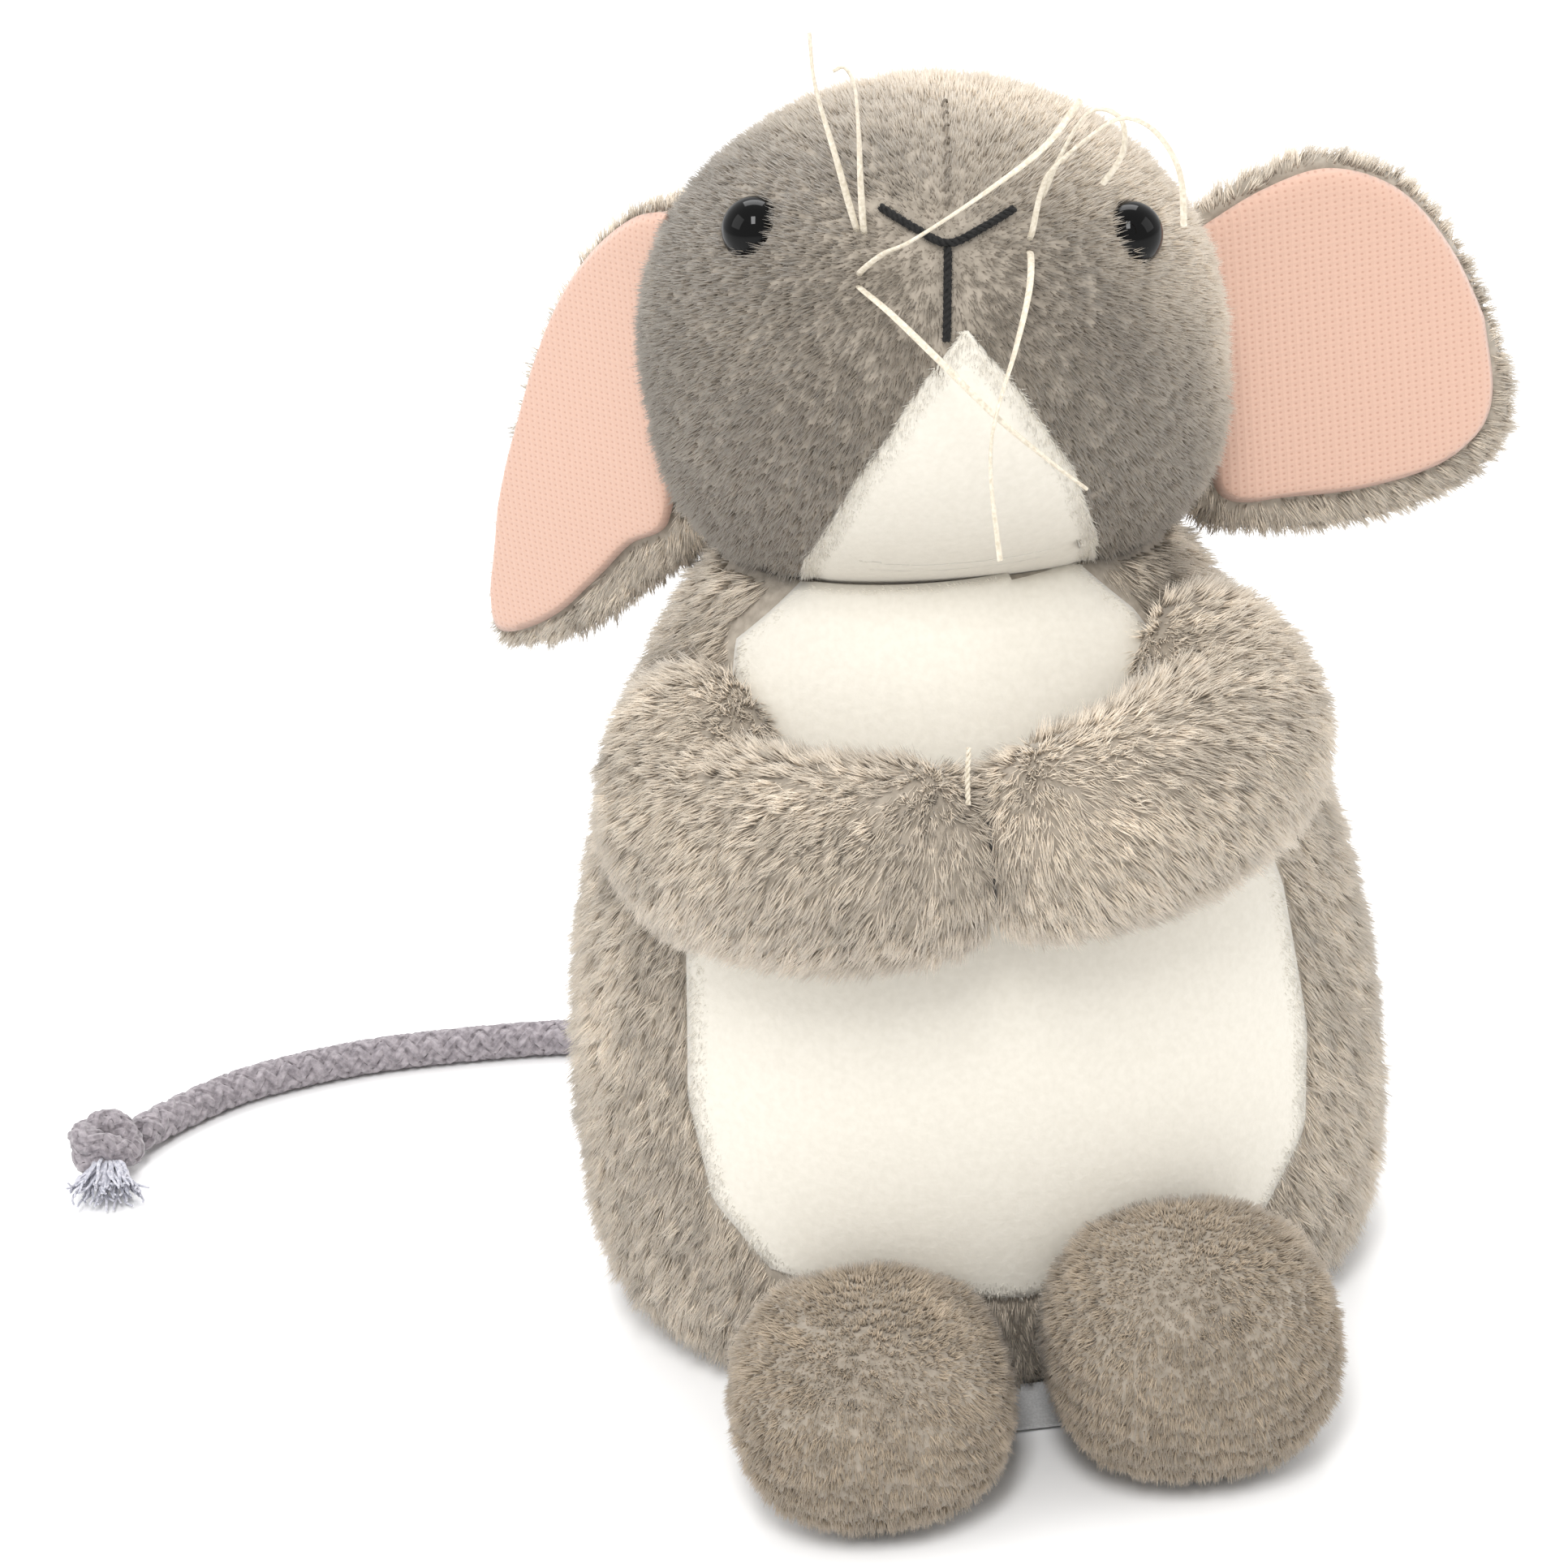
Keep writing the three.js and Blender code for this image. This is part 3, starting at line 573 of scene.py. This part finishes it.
# Feet.
# Two flattened round feet of dense short pile, which lies in low waves from side to side, with a
# flat sole sewn on round the lower edge. Each is sewn under the front of the body at its heel.
feet = {"right": dict(half=(19.5, 22.5, 15), centre=(-23.8, -64, 14.4)),
        "left": dict(half=(20.5, 21, 17.5), centre=(22.8, -62.5, 16.9))}
foot_fullness = 0.84
foot_trees = []
short_grey_pile = plush("short_grey_pile", (0.22, 0.17, 0.118), (0.385, 0.312, 0.228), (0.60, 0.495, 0.38), 0.45)
for name, foot in feet.items():
    centre, half = np.array(foot["centre"]) * 0.001, np.array(foot["half"]) * 0.001

    def foot_surface(direction):
        place = centre + half * np.sign(direction) * np.abs(direction) ** foot_fullness
        place[:, 2] = np.maximum(place[:, 2], 0.0004)
        return place

    skin = round_form(f"{name}_foot_backing", 64, 48, foot_surface)
    skin.data.materials.append(grey_backing_painted_shade)
    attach(skin, f"{name}_foot")
    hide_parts(f"{name}_foot_upper", f"{name}_foot_stuffing", f"{name}_foot_sole")
    foot_trees.append(skin_tree(skin))
    rng = np.random.default_rng(51 if name == "right" else 52)
    points, normals = scatter(skin, 7.8, rng)
    ok = (points[:, 2] > 0.0012) & outside(body_tree, points, 0.0002)
    points, normals = points[ok], normals[ok]
    waves = np.sin(points[:, 2] * 1500 + 5 * mottle(points, 110, 7) + points[:, 0] * 150)
    lay = np.tile((0.0, -0.25, -1.0), (len(points), 1)) 
    tufts = pile(f"{name}_foot_pile", points, normals, lay, 0.0020 + 0.0005 * waves, 0.00024, rng,
                 clump=10, gather_tips=0.45, stand=0.5, tone_and_painted_light=0.2 * waves + 0.25 * mottle(points, 300, 8),
                 bent=False)
    tufts.data.materials.append(short_grey_pile)
    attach(tufts, f"{name}_foot")


# Pile of the body.
# It covers the whole bag except for the white front, and is left out where the arms and feet sit.
rng = np.random.default_rng(11)
points, normals = scatter(body_skin, 5.0, rng)
ok = ~within(points, belly_outline, -0.012) & (points[:, 2] > 0.003)
ok &= clear_of_head(points, 1.2)[1] > 1
points, normals = points[ok], normals[ok]
for tree in arm_trees + foot_trees:
    ok = outside(tree, points)
    points, normals = points[ok], normals[ok]
lay = np.tile((0.0, 0.0, -1.0), (len(points), 1)) + 0.25 * normals * [1, 1, 0]
lay[:, 0] += 0.35 * mottle(points, 60, 4)
order = np.argsort(np.arctan2(points[:, 1], points[:, 0]))
points, normals, lay = points[order], normals[order], lay[order]
blocks = math.ceil(len(points) * 4 / 190000)
for k, part in enumerate(np.array_split(np.arange(len(points)), blocks)):
    tufts = pile(f"body_pile_{k + 1}", points[part], normals[part], lay[part], 0.0042, 0.00025, rng,
                 clump=16, tone_and_painted_light=0.22 * mottle(points[part], 240, 5) + 0.16 * mottle(points[part], 70, 13), stand=0.34, bent=False)
    tufts.data.materials.append(long_grey_pile)
    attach(tufts, "body")


# White front.
# One shaped panel of short white plush from the neck to between the feet, let into the grey
# with a seam all round, and worn smooth.
def front_patch(name, tree, left, right, heights, out, thick, columns, rim_front=0.0):
    """A panel that follows the front of a skin between a left and a right edge at each height."""
    grid = np.zeros((len(heights), columns, 3))
    forward = Vector((0, 1, 0))
    for j in range(columns):
        for i, z in enumerate(heights):
            low, high = np.interp(z, *left), np.interp(z, *right)
            x = low + (high - low) * j / (columns - 1)
            if i == 0:
                top = heights[-1]
                while top > heights[0] and (tree.ray_cast(Vector((x, -200, top)) * 0.001, forward)[0] or
                                            Vector((0, 1, 0))).y > rim_front:
                    top -= 0.2
            z = heights[0] + (z - heights[0]) * (top - heights[0]) / (heights[-1] - heights[0])
            hit, normal, _, _ = tree.ray_cast(Vector((x, -200, z)) * 0.001, forward)
            if hit is None:
                hit, normal, _, _ = tree.find_nearest(Vector((x, -40, z)) * 0.001)
            border = min(j, columns - 1 - j, 3) / 3
            grid[i, j] = hit + normal * (out * (0.25 + 0.75 * border))
    faces = [(i * columns + j, i * columns + j + 1, (i + 1) * columns + j + 1, (i + 1) * columns + j)
             for i in range(len(heights) - 1) for j in range(columns - 1)]
    patch = mesh_piece(name, grid.reshape(-1, 3), faces)
    bpy.ops.object.select_all(action="DESELECT")
    bpy.context.view_layer.objects.active = patch
    patch.select_set(True)
    wall = patch.modifiers.new("cloth_thickness", "SOLIDIFY")
    wall.thickness = thick
    wall.offset = -1
    bpy.ops.object.modifier_apply(modifier=wall.name)
    bpy.ops.object.shade_smooth()
    return patch


white_backing = cloth_material("white_backing", (0.64, 0.605, 0.53), (0.68, 0.645, 0.57), 900)
white_pile = plush("white_pile", (0.80, 0.745, 0.645), (0.835, 0.785, 0.69), (0.86, 0.815, 0.725), 0.03)
belly_z = [20, 23, 34, 50, 72, 92, 108, 116, 124]
belly_left = [-0.5, -35, -43, -45, -43, -38, -33, -31, -21]
belly_right = [0.5, 37, 45, 46.5, 44.5, 39, 31, 26, 18]
belly = front_patch("white_front", body_tree, (belly_z, belly_left), (belly_z, belly_right),
                    np.linspace(20, 124, 80), 0.0009, 0.0016, 48, rim_front=-0.018)
belly.data.materials.append(white_backing)
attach(belly, "body")
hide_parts("belly_panel")


def to_outline(outline):
    """A function that gives how far points are from an outline in X and Z."""
    ends = np.array([*outline, outline[0]]) * 0.001
    start, run = ends[:-1], np.diff(ends, axis=0)

    def distance(points):
        flat = points[:, None, [0, 2]] - start[None]
        share = np.clip((flat * run).sum(2) / (run ** 2).sum(1), 0, 1)
        return np.linalg.norm(flat - share[:, :, None] * run, axis=2).min(1)

    return distance


def white_fuzz(name, panel, body, seed, keep, edge_distance):
    """Short pile along the seams. The middle of a white panel is worn down to the cloth."""
    rng = np.random.default_rng(seed)
    points, normals = scatter(panel, 8.0, rng)
    ok = keep(points, normals)
    points, normals = points[ok], normals[ok]
    border = np.clip(1 - edge_distance(points) / 0.003, 0, 1)
    ok = rng.random(len(points)) < 2.5 * border
    points, normals, border = points[ok], normals[ok], border[ok]
    lay = np.tile((0.0, -0.1, -1.0), (len(points), 1))
    lay[:, 0] += 0.6 * mottle(points, 110, seed)
    tufts = pile(name, points, normals, lay, 0.0005 + 0.0010 * border, 0.00022, rng, clump=7,
                 gather_tips=0.1, stand=0.28, jitter=0.09, tone_and_painted_light=0.2 * mottle(points, 200, 2), bent=False)
    tufts.data.materials.append(white_pile)
    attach(tufts, body)


def belly_keep(points, normals):
    ok = (normals[:, 1] < -0.1) & (clear_of_head(points, 0.6)[1] > 1)
    for tree in arm_trees + foot_trees:
        ok &= outside(tree, points)
    return ok


white_fuzz("white_front_pile", belly, "body", 21, belly_keep, to_outline(belly_outline))


# Base panel.
# A flat round of thin grey cloth closes the seat, over the bag of plastic pellets that makes the
# toy sit. It is the one piece of the body without long pile.
base_cloth = cloth_material("grey_base_cloth", (0.34, 0.32, 0.295), (0.46, 0.44, 0.41), 1400)
base = bpy.data.objects["base_panel"]
base.data.materials.clear()
base.data.materials.append(base_cloth)


# Head.
# A ball of the same grey, a little wider than it is high, tipped back so that the nose points up.
# Its pile is 3 mm long and is brushed away from the nose on every side.
def on_head(direction, offset=0.0):
    """The place on the head in a direction of its own axes (side, -nose, up), offset in mm."""
    direction = unit(np.atleast_2d(np.asarray(direction, float)))
    forward = np.clip(-direction[:, 1], 0, None)
    x = direction[:, 0] * (head_half["width"] + offset) * (1 - 0.13 * forward ** 2)
    y = direction[:, 1] * (np.where(forward > 0, head_half["nose"], head_half["nape"]) + offset)
    z = direction[:, 2] * (head_half["height"] + offset)
    place = np.stack([x, y, z], 1) * 0.001 @ head_axes.T
    place[:, 0] *= cheek_width(place[:, 2])
    return place + head_centre


head_skin = round_form("head_backing", 112, 80, on_head)
head_skin.data.materials.append(grey_backing_painted_shade)
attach(head_skin, "head")
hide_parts("head_shell", "head_stuffing", "right_eye_washer", "left_eye_washer")
head_tree = skin_tree(head_skin)

chin_outline = [(3, 166.5), (10, 157), (17, 143), (21, 128), (21.5, 114), (17, 106), (-17, 106),
                (-21.5, 114), (-20.5, 128), (-13, 145), (-4, 159)]
eye_directions = {"right": (-0.683, -0.707, 0.165), "left": (0.683, -0.707, 0.165)}
eye_places = {name: on_head(way)[0] for name, way in eye_directions.items()}
nose_ways = [(-0.24, -0.95, 0.14), (-0.12, -0.98, 0.05), (0, -1, -0.01), (0.12, -0.98, 0.05),
             (0.24, -0.95, 0.14)]
mouth_ways = [(0, -0.998, -0.03), (0, -0.998, -0.075), (0, -0.985, -0.17), (0, -0.96, -0.28), (0, -0.93, -0.36)]
stitched = np.concatenate([smooth_line([Vector(p) for p in on_head(ways)], 0.001)[0]
                           for ways in (nose_ways, mouth_ways)])
nose_tip = on_head((0, -1, -0.01))[0]
rng = np.random.default_rng(71)
points, normals = scatter(head_skin, 6.7, rng)
ok = ~within(points, chin_outline, -0.014)
ok &= ~((points[:, 2] < 0.121) & (np.hypot(points[:, 0], points[:, 1]) < 0.024))
for place in eye_places.values():
    ok &= np.linalg.norm(points - place, axis=1) > 0.0038
points, normals = points[ok], normals[ok]
to_stitch = np.min(np.linalg.norm(points[:, None] - stitched[None, ::2], axis=2), axis=1)
ok = to_stitch > 0.0009
points, normals, to_stitch = points[ok], normals[ok], to_stitch[ok]
lay = points - nose_tip + 0.25 * rng.normal(size=points.shape) * 0.01
from_nose = np.linalg.norm(points - nose_tip, axis=1)
length = 0.0029 - 0.0013 * np.exp(-(from_nose / 0.012) ** 2) - 0.001 * np.exp(-(to_stitch / 0.0016) ** 2)
order = np.argsort(points[:, 0])
points, normals, lay, length = points[order], normals[order], lay[order], length[order]
# Painted light and shade: the head's pile is made lighter where it faces up and darker on the lower cheeks, as the
# lamps above light it.
facing_up = unit(points - head_centre) @ unit(head_axes @ np.array((0, -0.25, 1.0))[:, None].reshape(1, 3).T).reshape(3)
painted_head_light_and_shade = 2.1 * np.clip(facing_up - 0.42, -0.5, 0.42) + 0.12 * mottle(points, 90, 12)
head_pile = plush("head_pile", (0.29, 0.235, 0.175), (0.49, 0.415, 0.325), (0.74, 0.645, 0.525), 0.5)
blocks = math.ceil(len(points) * 4 / 190000)
for k, part in enumerate(np.array_split(np.arange(len(points)), blocks)):
    tufts = pile(f"head_pile_{k + 1}", points[part], normals[part], lay[part], length[part], 0.00023, rng,
                 clump=14, gather_tips=0.25, stand=0.3, jitter=0.1, bent=False, grain=0.35,
                 tone_and_painted_light=0.18 * mottle(points[part], 200, 6) + painted_head_light_and_shade[part])
    tufts.data.materials.append(head_pile)
    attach(tufts, "head")

chin_left = ([106, 114, 128, 145, 159, 166.5], [-17, -21.5, -20.5, -13, -4, 2.6])
chin_right = ([106, 114, 128, 143, 157, 166.5], [17, 21.5, 21, 17, 10, 3.4])
chin = front_patch("white_chin", head_tree, chin_left, chin_right, np.linspace(110.5, 166.5, 53), 0.0007,
                   0.0016, 32)
chin.data.materials.append(white_backing)
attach(chin, "head")
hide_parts("chin_panel")
white_fuzz("white_chin_pile", chin, "head", 22,
           lambda points, normals: (normals @ unit(head_axes[:, 1][None])[0] < 0.3) & (points[:, 2] > 0.1125),
           to_outline(chin_outline))


# Eyes.
# Glossy black plastic domes on a shank, pressed through the plush and held by washers inside.
eye_radius = 0.0047
glossy_black = bpy.data.materials.new("glossy_black_plastic")
glossy_black.use_nodes = True
gloss = glossy_black.node_tree.nodes["Principled BSDF"]
gloss.inputs["Base Color"].default_value = (0.0015, 0.0015, 0.0015, 1)
gloss.inputs["Roughness"].default_value = 0.05
gloss.inputs["Specular IOR Level"].default_value = 0.16
for name, surface in eye_places.items():
    outward = unit((surface - head_centre)[None])[0]
    middle = surface - outward * 0.0012

    def dome(direction):
        reach = direction @ outward
        place = middle + direction * eye_radius
        return place + outward[None] * (np.maximum(-0.001 - reach * eye_radius, 0))[:, None]

    eye = round_form(f"{name}_eye_dome", 48, 32, dome)
    eye.data.materials.append(glossy_black)
    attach(eye, "head")
    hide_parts(f"{name}_eye")


# Nose and mouth.
# Hand embroidery in thick fuzzy black yarn: a V for the nose and one straight line down from it.
def twisted(points, diameter, plies, lead):
    line, length = smooth_line(points, diameter / 5)
    across, up = frames_along(line)
    gone = np.linspace(0, length, len(line))
    parts = []
    for k in range(plies):
        turn = 2 * math.pi * (gone / lead + k / plies)
        middle = line + (across * np.cos(turn)[:, None] + up * np.sin(turn)[:, None]) * diameter * 0.24
        parts.append(tube(middle, diameter * 0.27, 8))
    return gather(parts)


black_yarn = cloth_material("black_yarn", (0.003, 0.003, 0.003), (0.014, 0.013, 0.012), 2500, sheen=0.0)
for name, ways, node in (("nose_embroidery", nose_ways, "nose_stitch"),
                         ("mouth_embroidery", mouth_ways, "mouth_stitch")):
    route = [Vector(p) for p in on_head(ways, 0.9)]
    yarn = mesh_piece(name, *twisted(route, 0.0012, 3, 0.0028))
    yarn.data.materials.append(black_yarn)
    rng = np.random.default_rng(len(ways))
    points, normals = scatter(yarn, 9.0, rng)
    hairs = pile(f"{name}_fuzz", points, normals, rng.normal(size=points.shape), 0.0007, 0.0001, rng,
                 clump=3, gather_tips=0.2, stand=0.35, bent=False)
    hairs.data.materials.append(black_yarn)
    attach(hairs, "head")
    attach(yarn, "head")
    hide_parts(node)


# Whiskers.
# Seven stiff bristles of flat, waxed cream thread, drawn through the muzzle and left to curl.
whiskers = {
    "whisker_a": ((-0.33, 0.941, 0.076), [(-2, -2.8, 10.5), (-3.9, -2.6, 20.6), (-4, -1.1, 27.5)]),
    "whisker_b": ((-0.3, 0.946, 0.06), [(0, -2.1, 7.5), (0.3, -2.3, 14.3), (0.3, -1.8, 20.2),
                                        (-0.8, -1.6, 22.9), (-2.4, -1.7, 22.6)]),
    "whisker_c": ((-0.312, 0.943, -0.105), [(3.1, -3.4, 3.3), (7, -5.9, 5.5), (16.6, -6, 10.7),
                                            (25.6, -4, 15.8), (31.3, -0.8, 20.9)]),
    "whisker_d": ((-0.311, 0.94, -0.165), [(3.5, -5.6, -2.3), (8.8, -12.4, -7.1), (15.2, -16.8, -14.1),
                                           (21.9, -19, -20.6), (26.8, -18.1, -25.5)]),
    "whisker_e": ((0.302, 0.953, -0.03), [(-1.3, -7.6, -2.8), (-4.3, -14.8, -8.2), (-7.4, -19.2, -14),
                                          (-9.1, -21.8, -18.6), (-9.7, -24, -24), (-9.5, -26, -33.7)]),
    "whisker_f": ((0.305, 0.952, 0.045), [(1.5, -2.2, 6.5), (3.4, -3.2, 10), (9.9, -3.4, 14.7),
                                          (13.3, -3.8, 15.9), (16.5, -4.3, 14.4), (18.9, -5.5, 11.1),
                                          (20, -6.3, 7.1), (19.9, -6.8, 1)]),
    "whisker_g": ((0.345, 0.905, 0.215), [(2.6, -1.6, 5.7), (6, -1.6, 10.6), (8.6, -2, 11.6),
                                          (11, -2.6, 10), (11.2, -2.6, 6.6), (10.1, -2.4, 3.9), (8, -1.4, 1)]),
}
waxed_thread = cloth_material("waxed_thread", (0.52, 0.455, 0.345), (0.72, 0.655, 0.545), 1800, 0.45, 0.1, 0.5)
for name, (root, reach) in whiskers.items():
    start = on_head((root[0], -root[1], root[2]), 0.9)[0]
    inside = on_head((root[0], -root[1], root[2]), -1.5)[0]
    route = [Vector(inside), Vector(start)] + [Vector(start + np.array(p) * 0.001) for p in reach]
    line, length = smooth_line(route, 0.0005)
    across, up = frames_along(line)
    angle = np.arange(10) * 2 * math.pi / 10
    twist = np.linspace(0, 2.5, len(line))[:, None]
    wide = across * np.cos(twist) + up * np.sin(twist)
    thin = up * np.cos(twist) - across * np.sin(twist)
    rings = (line[:, None] + 0.00048 * np.cos(angle)[None, :, None] * wide[:, None]
             + 0.00026 * np.sin(angle)[None, :, None] * thin[:, None])
    _, faces = tube(line, 0.0005, 10)
    thread = mesh_piece(f"{name}_thread", rings.reshape(-1, 3), faces)
    thread.data.materials.append(waxed_thread)
    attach(thread, "head")
    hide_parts(name)


# Ears.
# Two layers each: long grey pile behind, and brushed peach tricot in front, set in from the edge
# so that the pile stands round it as a rim. The tricot shows its columns of knitted holes.
ears = {
    "right": dict(side=-1, root=(-36.5, 8, 143), sweep=130, middle=(21, -12), rim=(-0.55, -0.83), outline=[
        (-6, 31), (2, 28.8), (12, 22.4), (21.3, 13.5), (29.6, 2), (36, -10.8), (40.6, -22), (45.2, -34.9),
        (48, -43.3), (47.5, -48.6), (41.6, -48.4), (29.4, -43.8), (17, -36.5), (6.8, -29), (-4, -21), (-5.5, -6), (-6.5, 12)]),
    "left": dict(side=1, root=(42, 2, 141), sweep=13, middle=(22, -2), rim=(0.1, -1.0), outline=[
        (-3, 22), (9, 27), (20, 28.5), (31, 23.5), (39.5, 13), (45, 0), (48, -12), (46, -20.5), (38.5, -26),
        (25, -28.5), (11, -27.5), (-3, -23), (-4, -8), (-4, 8)]),
}


def ear_place(local, ear):
    """From an ear's own plane, in mm (out, back, up), to its place on the head."""
    sweep = math.radians(ear["sweep"])
    x, y, z = local[:, 0], local[:, 1] * ear["side"], local[:, 2]
    place = np.stack([x * math.cos(sweep) - y * math.sin(sweep), x * math.sin(sweep) + y * math.cos(sweep), z], 1)
    return (place + np.array(ear["root"])) * 0.001


def ear_plate(name, ear, inset, low_inset, front, back, rings=22):
    """A soft closed plate over the ear's outline, rounded off at its edge."""
    ear_middle = np.array(ear["middle"], float)
    corners = [Vector((*p, 0)) for p in ear["outline"]]
    ear_edge = smooth_line([*corners, corners[0]], 0.6)[0][:-1, :2]
    reach = np.linalg.norm(ear_edge - ear_middle, axis=1)
    low = np.clip(1.3 * (ear_edge - ear_middle) @ np.array(ear["rim"]) / reach, 0, 1)
    edge = ear_middle + (ear_edge - ear_middle) * (1 - (inset + low_inset * low) / reach)[:, None]
    count = len(edge)
    layers = []
    for face in (0, 1):
        for k in range(rings):
            share = (k + 1) / rings if face == 0 else (rings - 1 - k) / rings
            if face == 1 and share == 0:
                continue
            flat = ear_middle + (edge - ear_middle) * share
            round_off = math.sqrt(max(0.0, 1 - max(0.0, (share - 0.9) / 0.1) ** 2))
            wave = 0.5 * np.sin(flat[:, 1] * 0.11 + 0.6) * flat[:, 0] / 45
            centre = (front + back) / 2
            level = centre + ((front if face == 0 else back) - centre) * round_off
            layers.append(np.stack([flat[:, 0], level + wave, flat[:, 1]], 1))
    flat = np.concatenate([np.array([[*ear_middle, 0]])[:, [0, 2, 1]] + [[0, front, 0]], *layers,
                           np.array([[*ear_middle, 0]])[:, [0, 2, 1]] + [[0, back, 0]]])
    faces = []
    for j in range(count):
        n = (j + 1) % count
        faces.append((0, 1 + j, 1 + n))
        for k in range(len(layers) - 1):
            a, b = 1 + k * count, 1 + (k + 1) * count
            faces.append((a + j, b + j, b + n, a + n))
        last = 1 + (len(layers) - 1) * count
        faces.append((last + j, len(flat) - 1, last + n))
    piece = mesh_piece(name, ear_place(flat, ear), faces)
    bpy.ops.object.select_all(action="DESELECT")
    bpy.context.view_layer.objects.active = piece
    piece.select_set(True)
    bpy.ops.object.mode_set(mode="EDIT")
    bpy.ops.mesh.select_all(action="SELECT")
    bpy.ops.mesh.normals_make_consistent(inside=False)
    bpy.ops.object.mode_set(mode="OBJECT")
    bpy.ops.object.shade_smooth()
    half = len(flat) // 2
    u = (flat[:, 0] + 4) / 110 + np.where(np.arange(len(flat)) > half, 0.5, 0)
    v = (flat[:, 2] + 32) / 110
    corner = np.empty(len(piece.data.loops), np.int32)
    piece.data.loops.foreach_get("vertex_index", corner)
    piece.data.uv_layers.new(name="OFBake").data.foreach_set("uv", np.stack([u, v], 1)[corner].ravel())
    return piece


tricot = bpy.data.materials.new("peach_tricot_knit")
tricot.use_nodes = True
nodes, links = tricot.node_tree.nodes, tricot.node_tree.links
shader = nodes["Principled BSDF"]
knit_map = nodes.new("ShaderNodeUVMap")
knit_map.uv_map = "OFBake"
knit_scale = nodes.new("ShaderNodeMapping")
knit_scale.inputs["Scale"].default_value = (110 / 1.27, 110 / 0.95, 1)
holes = nodes.new("ShaderNodeTexVoronoi")
holes.voronoi_dimensions = "2D"
holes.inputs["Scale"].default_value = 1
holes.inputs["Randomness"].default_value = 0.12
hole_ramp = nodes.new("ShaderNodeValToRGB")
hole_ramp.color_ramp.elements[0].position = 0.10
hole_ramp.color_ramp.elements[0].color = (0.47, 0.27, 0.20, 1)
hole_ramp.color_ramp.elements[1].position = 0.24
hole_ramp.color_ramp.elements[1].color = (0.575, 0.37, 0.285, 1)
knit_relief = nodes.new("ShaderNodeBump")
knit_relief.inputs["Strength"].default_value = 0.5
knit_relief.inputs["Distance"].default_value = 0.0003
links.new(knit_map.outputs["UV"], knit_scale.inputs["Vector"])
links.new(knit_scale.outputs["Vector"], holes.inputs["Vector"])
links.new(holes.outputs["Distance"], hole_ramp.inputs["Fac"])
links.new(hole_ramp.outputs["Color"], shader.inputs["Base Color"])
links.new(holes.outputs["Distance"], knit_relief.inputs["Height"])
links.new(knit_relief.outputs["Normal"], shader.inputs["Normal"])
shader.inputs["Roughness"].default_value = 0.85
shader.inputs["Sheen Weight"].default_value = 0.3

for name, ear in ears.items():
    back_plate = ear_plate(f"{name}_ear_backing", ear, 0, 0, 0.0, 3.4)
    back_plate.data.materials.append(grey_backing_painted_shade)
    lining = ear_plate(f"{name}_ear_tricot", ear, 1.4, 4.5, -2.3, -0.35)
    lining.data.materials.append(tricot)
    for piece, node, slot in ((back_plate, f"{name}_ear_back", "grey_plush"),
                              (lining, f"{name}_ear_lining", "peach_tricot")):
        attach(piece, f"{name}_ear")
        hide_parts(node)
    rng = np.random.default_rng(91 + ear["side"])
    points, normals = scatter(back_plate, 5.8, rng)
    lining_tree = skin_tree(lining)
    clear = np.array([lining_tree.find_nearest(p)[3] > 0.0009 for p in points])
    ok = clear & outside(head_tree, points, 0.0)
    points, normals = points[ok], normals[ok]
    centre = ear_place(np.array([[6.0, -6.0, -4.0]]), ear)
    lay = points - centre
    tufts = pile(f"{name}_ear_pile", points, normals, lay, 0.0036, 0.00024, rng, clump=14, stand=0.3,
                 tone_and_painted_light=0.2 * mottle(points, 250, 9), bent=False)
    tufts.data.materials.append(long_grey_pile)
    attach(tufts, f"{name}_ear")


# Seams.
# The seams are hidden by the pile, but up the middle of the forehead the stitches of one show as
# short dark notches where the pile parts; their darkness is partly the thread's own colour and
# partly painted shade of the parted pile.
# The thread is coloured dark: partly its own colour, partly painted shade of the furrow where the pile parts.
seam_thread = cloth_material("taupe_seam_thread_painted_shade", (0.13, 0.108, 0.085), (0.24, 0.205, 0.165), 2500, sheen=0.0)


def notch(middle, along, across, outward):
    """One stitch, lying across the seam and dipping into the pile at both ends."""
    points = [middle + across * s * 0.0007 + along * s * 0.0004 - outward * 0.0008 * s * s
              for s in (-1, -0.5, 0, 0.5, 1)]
    line, _ = smooth_line([Vector(p) for p in points], 0.0004)
    return tube(line, 0.00019, 6)


notches = []
for up in np.linspace(0.16, 0.62, 8):
    way = np.array((0, -math.sqrt(1 - up * up), up))
    here, further = on_head(way, 1.5)[0], on_head(way + (0, 0, 0.02), 1.5)[0]
    outward, along = unit((here - head_centre)[None])[0], unit((further - here)[None])[0]
    notches.append(notch(here, np.cross(along, outward), along, outward))
brow_seam = mesh_piece("forehead_seam_stitches", *gather(notches))
brow_seam.data.materials.append(seam_thread)
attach(brow_seam, "head")


# Thread end and label.
# A loose end of cream thread stands up where the hands are tacked together, and a folded satin
# label, left plain, is sewn in under the body between the feet.
tack_route = [Vector(p) * 0.001 for p in ((-2.6, -58, 102), (-2.5, -58, 104.4), (-2.3, -57.8, 107), (-1.8, -57, 110))]
tack = mesh_piece("hand_tack_end", *twisted(tack_route, 0.0008, 2, 0.002))
tack.data.materials.append(waxed_thread)
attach(tack, "body")
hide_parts("hand_tack_thread")

# The white satin is coloured grey: painted shade, as the label lies under the body.
satin = cloth_material("white_satin_painted_grey", (0.42, 0.42, 0.42), (0.55, 0.55, 0.55), 3000, 0.35, 0.2, 0.15)
bpy.data.objects["care_label"].data.materials.clear()
bpy.data.objects["care_label"].data.materials.append(satin)
